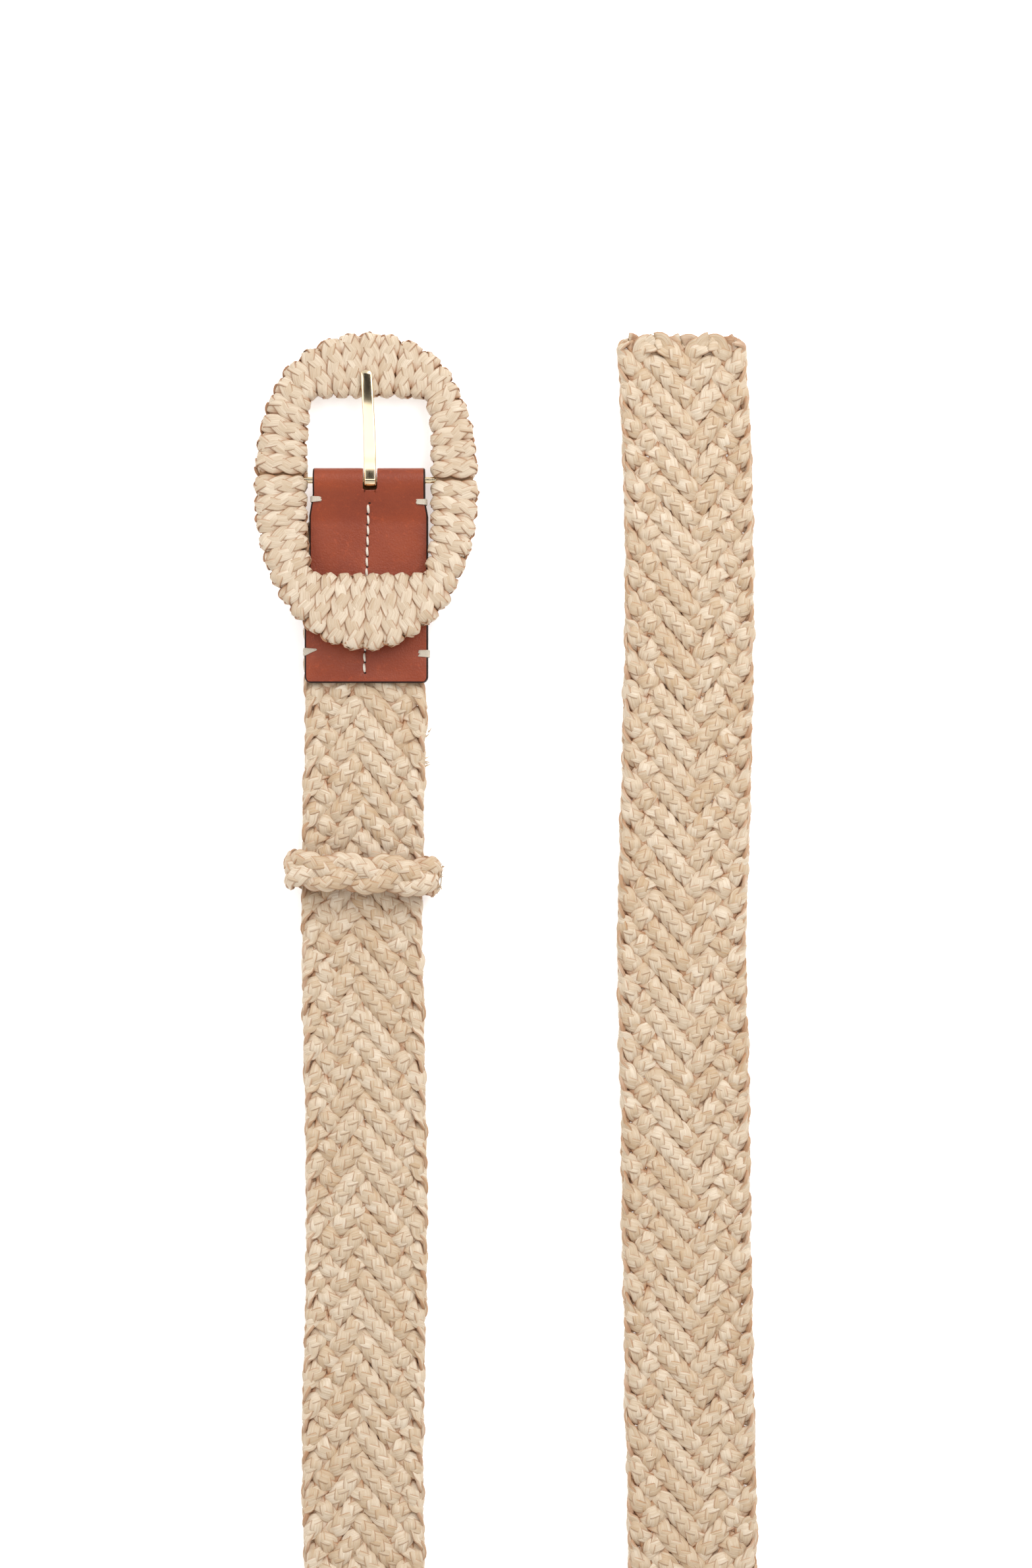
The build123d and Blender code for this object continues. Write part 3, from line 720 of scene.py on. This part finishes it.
def sheet_faces(solid, at_rim, holes):
    """Faces of both sides and of every edge, each with its material."""
    rows, columns = solid.shape[0] + 1, solid.shape[1] + 1
    index = np.arange(rows * columns).reshape(rows, columns)
    under = rows * columns
    faces, kinds = [], []
    for i, j in np.argwhere(solid).tolist():
        a, b, c, d = index[i, j], index[i, j + 1], index[i + 1, j + 1], index[i + 1, j]
        faces += [(a, b, c, d), (a + under, d + under, c + under, b + under)]
        # Needle-hole cells take the dark edge paint: painted shade in the holes.
        kinds += [PAINTED_AND_HOLE_SHADE if at_rim[i, j] or (i, j) in holes else FACE, PAINTED_AND_HOLE_SHADE if at_rim[i, j] else FACE]
        for p, q, other in ((a, b, (i - 1, j)), (b, c, (i, j + 1)), (c, d, (i + 1, j)), (d, a, (i, j - 1))):
            inside = 0 <= other[0] < rows - 1 and 0 <= other[1] < columns - 1
            if not inside or not solid[other]:
                faces.append((q, p, p + under, q + under))
                kinds.append(CUT if inside else PAINTED_AND_HOLE_SHADE)
    return faces, kinds


def drop_loose_points(mesh, used):
    """Delete the points that only the slot's missing faces would use, and turn the faces outward."""
    work = bmesh.new()
    work.from_mesh(mesh)
    work.verts.ensure_lookup_table()
    loose = np.setdiff1d(np.arange(len(mesh.vertices)), used)
    bmesh.ops.delete(work, geom=[work.verts[i] for i in loose], context="VERTS")
    bmesh.ops.recalc_face_normals(work, faces=work.faces)
    work.to_mesh(mesh)
    work.free()


def sheet_mesh(name, depth, thick, inset, materials, edge_round, pierced):
    """A leather sheet folded round the bar, with its slot, rounded edges, seam and tack dents."""
    end = TAB_END + inset
    rim = edge_round * RIM_STEPS
    flat = np.arange(end + 1.2, SLOT_END - 1.6, 0.55)
    leaf_y = np.concatenate([end + rim, flat, SLOT_END + SLOT_ROWS, [-2.0, -1.2, -0.6]])
    arc = np.linspace(0, math.pi, FOLD_STEPS)
    leaf = np.ones(len(leaf_y))
    front = np.concatenate([leaf, np.zeros(FOLD_STEPS), -leaf])
    fold_angle = np.concatenate([0 * leaf, arc, math.pi * leaf])
    on_arc = front == 0
    on_leaf = (~on_arc)[:, None]
    y = np.concatenate([leaf_y, (FOLD_RADIUS - depth) * np.sin(arc), leaf_y[::-1]])
    y_in = np.concatenate([leaf_y, (FOLD_RADIUS - depth - thick) * np.sin(arc), leaf_y[::-1]])
    heights = []
    for deep in (depth, depth + thick):
        z = np.where(front > 0, leaf_height(y, deep), back_height(y, deep))
        z[on_arc] = BAR_Z + (FOLD_RADIUS - deep) * np.cos(arc)
        heights.append(z[:, None])
    z_out, z_in = heights

    left, right = tab_edges(np.minimum(y, -0.01))
    left, right = left + inset, right - inset
    x, i_left, i_right = sheet_lines(left, right, inset, rim)

    row_y = np.where(on_arc, 5.0, y)
    round_in = np.clip(SLOT_END + SLOT_CORNER - row_y, 0, SLOT_CORNER)
    half = SLOT_HALF_WIDTH - (SLOT_CORNER - np.sqrt(SLOT_CORNER**2 - round_in**2))
    below = np.clip((SLOT_END - row_y) / 2.5, 0, 1)
    half = np.where(row_y < SLOT_END, (SLOT_HALF_WIDTH - SLOT_CORNER) + SLOT_CORNER * below, half)
    keep = (np.abs(row_y - SLOT_END) < 6) | on_arc
    x[keep, i_left] = PRONG_X - half[keep]
    x[keep, i_right] = PRONG_X + half[keep]

    gap = np.minimum(x - left[:, None], right[:, None] - x)
    gap = np.minimum(gap, np.where(on_arc, 99, y - end)[:, None])
    over = np.clip(edge_round - gap, 0, edge_round)
    dip = edge_round - np.sqrt(np.maximum(edge_round**2 - over**2, 0))
    dip = np.minimum(dip, thick * 0.48)
    slot_limit = np.where(front < 0, SLOT_BACK_END, SLOT_END) - 0.01
    beside_slot = row_y >= slot_limit
    for i in (i_left, i_right):
        dip[:, i] = np.maximum(dip[:, i], 0.12 * beside_slot)

    sink, swell, holes = sheet_relief(x, y, left, right, gap, on_leaf, front, pierced)
    lift = front[:, None] * (swell - sink)
    ny, nz = np.sin(fold_angle)[:, None], np.cos(fold_angle)[:, None]
    top = joined(x, y[:, None] - ny * dip, z_out - nz * dip + lift)
    low = joined(x, y_in[:, None] + ny * dip, z_in + nz * dip + lift)

    solid = np.ones((len(y) - 1, x.shape[1] - 1), dtype=bool)
    open_row = beside_slot[:-1] & beside_slot[1:]
    solid[np.ix_(open_row, np.arange(i_left, i_right))] = False
    at_rim = (gap[:-1, :-1] + gap[1:, 1:]) / 2 < edge_round * 0.9
    faces, kinds = sheet_faces(solid, at_rim, holes)
    points = np.concatenate([top.reshape(-1, 3), low.reshape(-1, 3)])
    mesh = smooth_mesh(name, points, faces, materials)
    mesh.polygons.foreach_set("material_index", np.array(kinds, dtype=np.int32))
    drop_loose_points(mesh, np.unique(np.array(faces)))
    mesh.update()
    return mesh


def make_leather():
    tab = sheet_mesh("tab_leather", 0.0, LEATHER, 0.0, [TAN, EDGE_PAINT_AND_HOLE_SHADE, CUT_EDGE], 0.6, True)
    add_piece(tab, "tab_leather", "strap", ["leather_tab"])
    lining = sheet_mesh("tab_lining_hide", LEATHER + LAYER_GAP, LINING, 0.4, [LINING_HIDE] * 3, 0.2, False)
    add_piece(lining, "tab_lining_hide", "strap", ["tab_lining"])


# ---- sewing ----
def make_seam(name, height, side, node):
    """Saddle stitches from hole to hole: each lies on the leather and dives at both ends."""
    bundle = Bundle()
    x, y = seam_holes()
    f = np.linspace(0, 1, 15)
    arch = np.sin(math.pi * f) ** 0.45
    for i in range(STITCHES):
        lean = rng.uniform(-0.10, 0.10)
        px = x[i] + (x[i + 1] - x[i]) * f + 0.34 * (f - 0.5) + lean * np.sin(math.pi * f)
        py = y[i] + (y[i + 1] - y[i]) * (0.10 + 0.80 * f)
        pz = height(py, 0) + side * (-0.55 + 0.72 * arch)
        wide = (0.35 + 0.65 * arch) * rng.uniform(0.92, 1.08)
        path = joined(px, py, pz)
        bundle.tube(path, np.tile(Z, (len(f), 1)), wide, wide * 0.8, tone=0.5)
    bundle.build(name, CREAM_THREAD, "strap", [node])


def curve_through(points, count):
    """A Catmull-Rom curve through the points, as count points evenly spaced in its parameter."""
    padded = np.concatenate([[2 * points[0] - points[1]], points, [2 * points[-1] - points[-2]]])
    t = np.linspace(0, len(points) - 1 - 1e-6, count)
    i, f = t.astype(int), (t % 1)[:, None]
    a, b, c, d = (padded[i + k] for k in range(4))
    return 0.5 * ((2 * b) + (c - a) * f + (2 * a - 5 * b + 4 * c - d) * f**2 + (3 * b - a - 3 * c + d) * f**3)


def make_tack(row, side, y, spread, taper):
    """A hank of thread wound round the tab's edge and gathered into its hole."""
    bundle = Bundle()
    left, right = tab_edges(np.array([y]))
    edge = (left if side < 0 else right)[0]
    reach = 4.6 if taper > 0.5 else 3.4  # from the edge to the hole
    top, bottom = leaf_height(y, 0), back_height(y, 0)
    dent = 0.7 if row == "upper" else 0.25
    for i in range(TACK_TURNS):
        u = (i / (TACK_TURNS - 1) - 0.5) * 2
        out = edge + side * (0.30 + rng.uniform(-0.05, 0.1))
        hole = edge - side * (reach + rng.uniform(-0.3, 0.3) * (1 - taper))
        wide_y = y + u * spread + rng.uniform(-0.12, 0.12)
        hole_y = y + u * spread * (1 - taper) + taper * 0.9
        half_way = ((hole + out) / 2, (wide_y + hole_y) / 2)
        over = [  # (x, y, height over the dented leather)
            (hole, hole_y, -0.6),
            (hole + side * 0.35, hole_y, 0.1 * dent + 0.22),
            (*half_way, 0.32),
            (out - side * 0.7, wide_y, 0.25),
            (out, wide_y, -0.7),
        ]
        key = [(px, py, top - dent + rise) for px, py, rise in over]
        key.append((out + side * 0.1, wide_y, (top + bottom) / 2))
        key += [(px, py, bottom + dent - rise) for px, py, rise in over[::-1]]
        path = curve_through(np.array(key), 40)
        normal = unit(path - np.array([(hole + out) / 2, y, (top + bottom) / 2]))
        bundle.tube(path, normal, 0.62, 0.5, ring=6, tone=0.5)
    word = "left" if side < 0 else "right"
    bundle.build(f"thread_tack_{row}_{word}", TACK_THREAD, "strap", [f"tack_{row}_{word}"])


def make_sewing():
    make_seam("seam_front", leaf_height, 1, "tab_needle_thread")
    make_seam("seam_back", back_height, -1, "tab_bobbin_thread")
    for tack in TACKS:
        make_tack(*tack)
    bundle = Bundle()
    x = STRAP_X + RUN_SPACING - 0.6
    places = np.linspace(x - TIP_THREAD_HALF, x + TIP_THREAD_HALF, 26)
    zigzag = TIP_THREAD_Y + 1.6 * np.sin(np.arange(26) * 1.9)
    path = curve_through(joined(places, zigzag, np.full(26, TIP_THREAD_Z)), 180)
    bundle.tube(path, np.tile(Z, (len(path), 1)), 0.8, 0.7, tone=0.5)
    bundle.build("tip_stitches", TACK_THREAD, "strap", ["tip_lock_thread"])


# ---- buckle ----
def tilt_matrix():
    c, s = math.cos(-BUCKLE_TILT), math.sin(-BUCKLE_TILT)
    return np.array([[1, 0, 0], [0, c, s], [0, -s, c]])


def in_buckle(points, offset=(0, 0, 0)):
    """From the buckle's own plane, bar along X, to where the buckle lies."""
    return points @ tilt_matrix() + np.array([0, 0, BAR_Z]) + np.array(offset)


def even_points(points, count):
    """The closed outline resampled to count even steps."""
    closed = np.concatenate([points, points[:1]])
    length = path_length(closed)
    want = np.linspace(0, length[-1], count, endpoint=False)
    return joined(*(np.interp(want, length, closed[:, i]) for i in (0, 1)))


def frame_outlines():
    """Outer and inner outline of the frame, both starting at the bar on the right and going anticlockwise."""
    angle = np.linspace(0, 2 * math.pi, 2000, endpoint=False)
    power = 2 / np.where(angle < math.pi, OUTLINE_POWER_ABOVE, OUTLINE_POWER_BELOW)
    outer_x = OUTLINE_HALF_WIDTH * rounder(np.cos(angle), power)
    outer_y = OUTLINE_MIDDLE_Y + OUTLINE_HALF_LENGTH * rounder(np.sin(angle), power)
    left, right = WINDOW_LEFT + WINDOW_CORNER, WINDOW_RIGHT - WINDOW_CORNER
    bottom, top = WINDOW_BOTTOM + WINDOW_CORNER, WINDOW_TOP - WINDOW_CORNER
    corners = []
    for cx, cy, start in ((right, top, 0), (left, top, 90), (left, bottom, 180), (right, bottom, 270)):
        arc = np.radians(start + np.linspace(0, 90, 12))
        corners.append(WINDOW_CORNER * joined(np.cos(arc), np.sin(arc)) + [cx, cy])
    outlines = []
    for line in (joined(outer_x, outer_y), np.concatenate(corners)):
        dense = even_points(line, 20000)
        start = np.argmin(np.abs(dense[:, 1]) + (dense[:, 0] < 0) * 1000)
        outlines.append(even_points(np.roll(dense, -start, axis=0), OUTLINE_STEPS))
    return outlines


def on_outline(line, step):
    """Points of the closed outline at those steps."""
    closed = np.concatenate([line, line[:1]])
    steps = np.arange(len(closed))
    return joined(*(np.interp(step % OUTLINE_STEPS, steps, closed[:, i]) for i in (0, 1)))


def make_wrap(name, node, begin, finish, turns):
    """One winding: a braided cord wound round the frame from one seam to the other. begin and finish are
    shares of the outline, from the bar on the right."""
    around = np.linspace(0, turns, turns * WRAP_STEPS + 1)
    whole, part = np.floor(around), around % 1
    lap = whole + np.where(part < 0.5, 0, smooth((part - 0.5) * 2)) + 0.5  # it moves on behind the frame
    step = (begin + (finish - begin) * np.clip(lap, 0.25, turns) / turns) * OUTLINE_STEPS
    outer, inner = (on_outline(line, step) for line in frame_outlines())
    middle, reach = (outer + inner) / 2, (outer - inner) / 2
    radius = np.linalg.norm(reach, axis=1)
    out = reach / radius[:, None]
    angle = math.pi * 2 * part  # 0 on the inner edge, rising over the front to the outer edge
    c, s = -np.cos(angle), np.sin(angle)
    flat = rounder(c, 0.62) * (radius - WRAP_CORD / 2)
    tall = rounder(s, 0.55) * (FRAME_HALF_THICK - WRAP_CORD / 2)
    path = np.concatenate([middle + out * flat[:, None], tall[:, None]], axis=1)
    normal = joined(c * out[:, 0] * 0.55, c * out[:, 1] * 0.55, s)
    path[:, 2] += wobble(around, 3.1, 0.10)
    lateral = joined(-out[:, 1], out[:, 0], np.zeros(len(out)))
    path += lateral * wobble(around, 5.3, 0.28)[:, None]
    share_per_turn = (finish - begin) / turns
    outer_pitch, inner_pitch = share_per_turn * OUTER_LENGTH, share_per_turn * INNER_LENGTH
    pitch = inner_pitch + (outer_pitch - inner_pitch) * (flat / radius + 1) / 2
    wide = np.clip(np.abs(pitch), 4.0, 9.0) * WRAP_OVERLAP * (1 + wobble(around, 4.0, 0.04))
    braid_turns = path_length(path) / WRAP_PERIOD + wobble(around, 6, 0.06)
    thick = WRAP_THICK * (1 + wobble(around, 2.0, 0.05))
    bundle = Bundle()
    # reach sets how deep the painted gap shade reaches.
    bundle.braid(in_buckle(path), normal @ tilt_matrix(), wide, thick, braid_turns, reach=1.05,
                 two_sided=False, sense=-1, convex=0.4 + 0.6 * c**2, flat_side=0.7)
    bundle.build(name, BUCKLE_RAFFIA, "buckle", [node])


def prong_section():
    """(x side, z side, cosine, sine) of each point round the prong's bevelled section."""
    section = []
    for side_x, side_z, start in ((1, 1, 0), (-1, 1, 90), (-1, -1, 180), (1, -1, 270)):
        arc = np.radians(start + np.linspace(0, 90, BEVEL_STEPS))
        section += [(side_x, side_z, math.cos(t), math.sin(t)) for t in arc]
    return section


def make_prong():
    """A flat polished tongue: rounded edges, a curled root round the bar and a rounded tip."""
    middle, thick = (EYE_OUTER + EYE_INNER) / 2, EYE_OUTER - EYE_INNER
    curl = np.radians(np.linspace(372, 90, EYE_STEPS))
    curl_path = joined(np.zeros(EYE_STEPS), np.cos(curl) * middle, np.sin(curl) * middle)
    y = np.concatenate([np.linspace(0.4, 38.4, 70), PRONG_LENGTH - np.array([0.8, 0.5, 0.25, 0.1, 0.0])])
    kernel = np.hanning(15)[1:-1]
    kernel /= kernel.sum()
    sides = [np.interp(y, *np.array(line).T) for line in (PRONG_TOP, PRONG_UNDER)]
    top, under = (np.convolve(np.pad(a, len(kernel) // 2, mode="edge"), kernel, mode="valid") for a in sides)
    path = np.concatenate([curl_path, joined(np.zeros(len(y)), y, (top + under) / 2)])
    height = np.concatenate([np.full(EYE_STEPS, thick), top - under])
    blade_half = PRONG_HALF_EYE + (PRONG_HALF_TIP - PRONG_HALF_EYE) * y / PRONG_LENGTH
    round_in = np.clip(PRONG_ROUND - (PRONG_LENGTH - y), 0, PRONG_ROUND)
    blade_half = blade_half - (PRONG_ROUND - np.sqrt(PRONG_ROUND**2 - round_in**2))
    half = np.concatenate([np.full(EYE_STEPS, PRONG_HALF_EYE), blade_half])
    path[:, 0] += PRONG_LEAN * smooth(np.maximum(path[:, 1] - 4, 0) / 70) * 2
    along = unit(np.gradient(path, axis=0))
    normal = np.cross(np.tile(X, (len(path), 1)), along)
    section = prong_section()
    points = []
    for i in range(len(path)):
        bevel = min(PRONG_BEVEL, height[i] * 0.45, half[i] * 0.5)
        for side_x, side_z, c, s in section:
            across = side_x * (half[i] - bevel) + c * bevel
            rise = side_z * (height[i] / 2 - bevel) + s * bevel
            points.append(path[i] + X * across + normal[i] * rise)
    ring, n = len(section), len(path)
    faces = []
    for i in range(n - 1):
        for j in range(ring):
            k = (j + 1) % ring
            faces.append((i * ring + j, i * ring + k, (i + 1) * ring + k, (i + 1) * ring + j))
    faces += [tuple(range(ring - 1, -1, -1)), tuple((n - 1) * ring + j for j in range(ring))]
    mesh = smooth_mesh("prong_tongue", in_buckle(np.array(points), (PRONG_X, 0, 0)), faces, [PALE_GOLD])
    mesh.update()
    add_piece(mesh, "prong_tongue", "tongue", ["prong"])


# ---- keeper ----
def keeper_size():
    """(width, height) of the loop's straight parts, length of one corner and length of the whole loop."""
    width = 2 * (KEEPER_HALF_WIDTH - KEEPER_CORNER)
    height = KEEPER_TOP - KEEPER_BOTTOM - 2 * KEEPER_CORNER
    quarter = math.pi * KEEPER_CORNER / 2
    return width, height, quarter, 2 * (width + height) + 4 * quarter


def keeper_loop(s):
    """(points, outward normals) of a rounded rectangle in the XZ plane, by length from the middle of the
    right-hand side, going up."""
    width, height, quarter, whole = keeper_size()
    s = s % whole
    side, corner = KEEPER_HALF_WIDTH, KEEPER_CORNER
    low, high = KEEPER_BOTTOM + corner, KEEPER_TOP - corner
    straights = [  # (length, start, direction, outward)
        (height / 2, (side, (KEEPER_BOTTOM + KEEPER_TOP) / 2), (0, 1), (1, 0)),
        (width, (side - corner, KEEPER_TOP), (-1, 0), (0, 1)),
        (height, (-side, high), (0, -1), (-1, 0)),
        (width, (corner - side, KEEPER_BOTTOM), (1, 0), (0, -1)),
        (height / 2, (side, low), (0, 1), (1, 0)),
    ]
    corners = [(side - corner, high), (corner - side, high), (corner - side, low), (side - corner, low)]
    point, normal = np.zeros((len(s), 2)), np.zeros((len(s), 2))
    at = 0.0
    for i, (length, start, direction, out) in enumerate(straights):
        inside = (s >= at) & (s <= at + length)
        point[inside] = np.array(start) + (s[inside] - at)[:, None] * np.array(direction)
        normal[inside] = out
        at += length
        if i < len(corners):
            inside = (s >= at) & (s <= at + quarter)
            angle = i * math.pi / 2 + (s[inside] - at) / corner
            normal[inside] = joined(np.cos(angle), np.sin(angle))
            point[inside] = np.array(corners[i]) + corner * normal[inside]
            at += quarter
    return point, normal


def in_keeper(points):
    c, s = math.cos(KEEPER_TILT), math.sin(KEEPER_TILT)
    return points @ np.array([[c, s, 0], [-s, c, 0], [0, 0, 1]]) + np.array([KEEPER_X, KEEPER_Y, 0])


def make_keeper():
    """A flat plait of three braided cords, joined end to end at the right-hand side."""
    s = np.linspace(-3.0, keeper_size()[-1] + 2.0, KEEPER_STEPS)  # the ends overlap
    point, normal = keeper_loop(s)
    flat = np.zeros(KEEPER_STEPS)
    centre = joined(point[:, 0], flat, point[:, 1])
    out = joined(normal[:, 0], flat, normal[:, 1])
    low = smooth((8 - centre[:, 2]) / 6)  # the part under the strap is flatter
    bundle = Bundle()
    for j in range(3):
        phase = 2 * math.pi * (s / KEEPER_PLAIT + j / 3 + 0.10)
        rise = KEEPER_RISE * np.sin(2 * phase) * (1 - 0.6 * low)
        path = centre + Y * (KEEPER_SWING * plait_swing(phase))[:, None] + out * rise[:, None]
        edge = np.abs(np.sin(phase)) ** 6
        wide = KEEPER_CORD * (1 - 0.14 * edge)
        thick = KEEPER_CORD_THICK * (1 + 0.25 * edge) * (1 - 0.5 * low)
        turns = path_length(path) / KEEPER_CORD_PERIOD + rng.uniform()
        up = in_keeper(out) - in_keeper(np.zeros(3))
        # level and reach set the painted gap shade.
        bundle.braid(in_keeper(path), up, wide, thick, turns, level=rise + 0.8, reach=2.1, two_sided=False,
                     sense=1 if j % 2 else -1)
    bundle.build("keeper_cords", KEEPER_RAFFIA, "keeper", ["keeper_plait"])

    ties = Bundle()
    angle = np.linspace(0, 2 * math.pi, 49)
    for z in TIE_HEIGHTS:
        x = TIE_X + TIE_HALF_WIDTH * rounder(np.cos(angle), 0.6)
        y = TIE_HALF_LENGTH * rounder(np.sin(angle), 0.6)
        path = joined(x, y, z + 0.5 * np.sin(angle * 2))
        ties.tube(in_keeper(path), np.tile(Z, (len(angle), 1)), 0.5, 0.5, ring=6, tone=0.4)
    ties.build("keeper_ties", TACK_THREAD, "keeper", ["keeper_joint_thread"])


# ---- frayed fibres ----
def fray(bundle, root, direction, count, length, spread):
    """A tuft of split fibre ends standing out of the work."""
    f = np.linspace(0, 1, 9)[:, None]
    for _ in range(count):
        aim = unit(direction + rng.normal(0, spread, 3))
        start = root + rng.normal(0, 0.5, 3)
        path = start + aim * f * length * rng.uniform(0.6, 1.2) + rng.normal(0, 0.5, 3) * f**2
        normal = np.tile(unit(Z + rng.normal(0, 0.4, 3)), (len(f), 1))
        # level 1.0 keeps the painted gap shade off the fibre ends.
        bundle.tube(path, normal, 0.7 * (1.05 - f[:, 0]), 0.16, level=1.0, ring=6)


def make_frays():
    bundle = Bundle()
    for y in (-92.2, -101.5, -103.4):
        fray(bundle, np.array([STRAP_X + 22.0, y, STRAP_MID]), X + 0.5 * Y + 0.3 * Z, 3, 2.0, 0.25)
    fray(bundle, np.array([STRAP_X + RUN_SPACING - 23.0, 36.0, 3.0]), -X + 0.4 * Z, 2, 1.6, 0.3)
    bundle.build("strap_frayed_fibres", STRAP_RAFFIA, "strap", ["strap_plait"])
    bundle = Bundle()
    for y in (-3.6, 0.5, 4.0):
        root = in_keeper(np.array([[27.9, y, 11.0]]))[0]
        fray(bundle, root, X + 0.8 * Z, 5, 1.9, 0.35)
    bundle.build("keeper_cut_ends", KEEPER_RAFFIA, "keeper", ["keeper_plait"])


# ---- stage ----
def area_light(name, place, target, size, power):
    lamp = bpy.data.lights.new(name, "AREA")
    lamp.shape = "RECTANGLE"
    lamp.size, lamp.size_y = size
    lamp.energy = power
    light = bpy.data.objects.new(name, lamp)
    bpy.context.scene.collection.objects.link(light)
    direction = mathutils.Vector(target) - mathutils.Vector(place)
    light.location = place
    light.rotation_euler = direction.to_track_quat("-Z", "Y").to_euler()


def black_card(name, place, size):
    """A black card hung over the table, for the metal to reflect."""
    bpy.ops.mesh.primitive_plane_add(size=1, location=place)
    card = bpy.context.object
    card.name = name
    card.scale = (*size, 1)
    n = Nodes(name + "_black")
    n.set(Base_Color=(0.015, 0.012, 0.01, 1), Roughness=1.0, Specular_IOR_Level=0.0)
    card.data.materials.append(n.material)


def make_floor():
    bpy.ops.mesh.primitive_plane_add(size=FLOOR_SIZE, location=(0, 0, FLOOR_Z))
    floor = bpy.context.object
    floor.name = "floor"
    n = Nodes("floor_white")
    n.link(n.ramp(n.noise(n.place(), 3.0), [(0.3, grey(0.90)), (0.7, grey(0.93))]), "Base Color")
    n.set(Roughness=0.9, Specular_IOR_Level=0.1, Emission_Color=(1, 1, 1, 1), Emission_Strength=0.4)
    floor.data.materials.append(n.material)


def make_stage():
    make_floor()
    world = bpy.data.worlds.new("studio")
    bpy.context.scene.world = world
    world.use_nodes = True
    world.node_tree.nodes["Background"].inputs["Color"].default_value = (1.0, 0.99, 0.98, 1)
    world.node_tree.nodes["Background"].inputs["Strength"].default_value = 0.76
    centre = in_row([VIEW_X, VIEW_Y, 0])
    for name, offset, size, power in LIGHTS:
        area_light(name, (centre[0] + offset[0], centre[1] + offset[1], offset[2]), centre, size, power)
    top = in_row(TOP_LIGHT)
    area_light("top", top, (top[0], top[1], 0), TOP_LIGHT_SIZE, TOP_LIGHT_POWER)
    for name, place, size in CARDS:
        black_card(name, in_row(place), size)

    lens = bpy.data.cameras.new("camera")
    lens.lens, lens.sensor_width = 100.0, 36.0
    lens.clip_end = 50
    camera = bpy.data.objects.new("camera", lens)
    bpy.context.scene.collection.objects.link(camera)
    camera.location = in_row([VIEW_X, VIEW_Y, CAMERA_HEIGHT])
    bpy.context.scene.camera = camera
    bpy.context.scene.view_settings.view_transform = "Standard"


def finish_cad_nodes():
    """The CAD nodes that stay as they are get their own materials."""
    for name, material in (("buckle_bar", PALE_GOLD), ("buckle_core", CORE), ("strap_end_tape", COTTON)):
        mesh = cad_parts[name].data
        mesh.materials.clear()
        mesh.materials.append(material)


make_strap()
make_leather()
make_sewing()
make_wrap("buckle_winding_upper", "buckle_wrap_upper", 0.0025, 0.4715, 19)
make_wrap("buckle_winding_lower", "buckle_wrap_lower", -0.0025, -0.5235, 22)
make_prong()
make_keeper()
make_frays()
finish_cad_nodes()
make_stage()
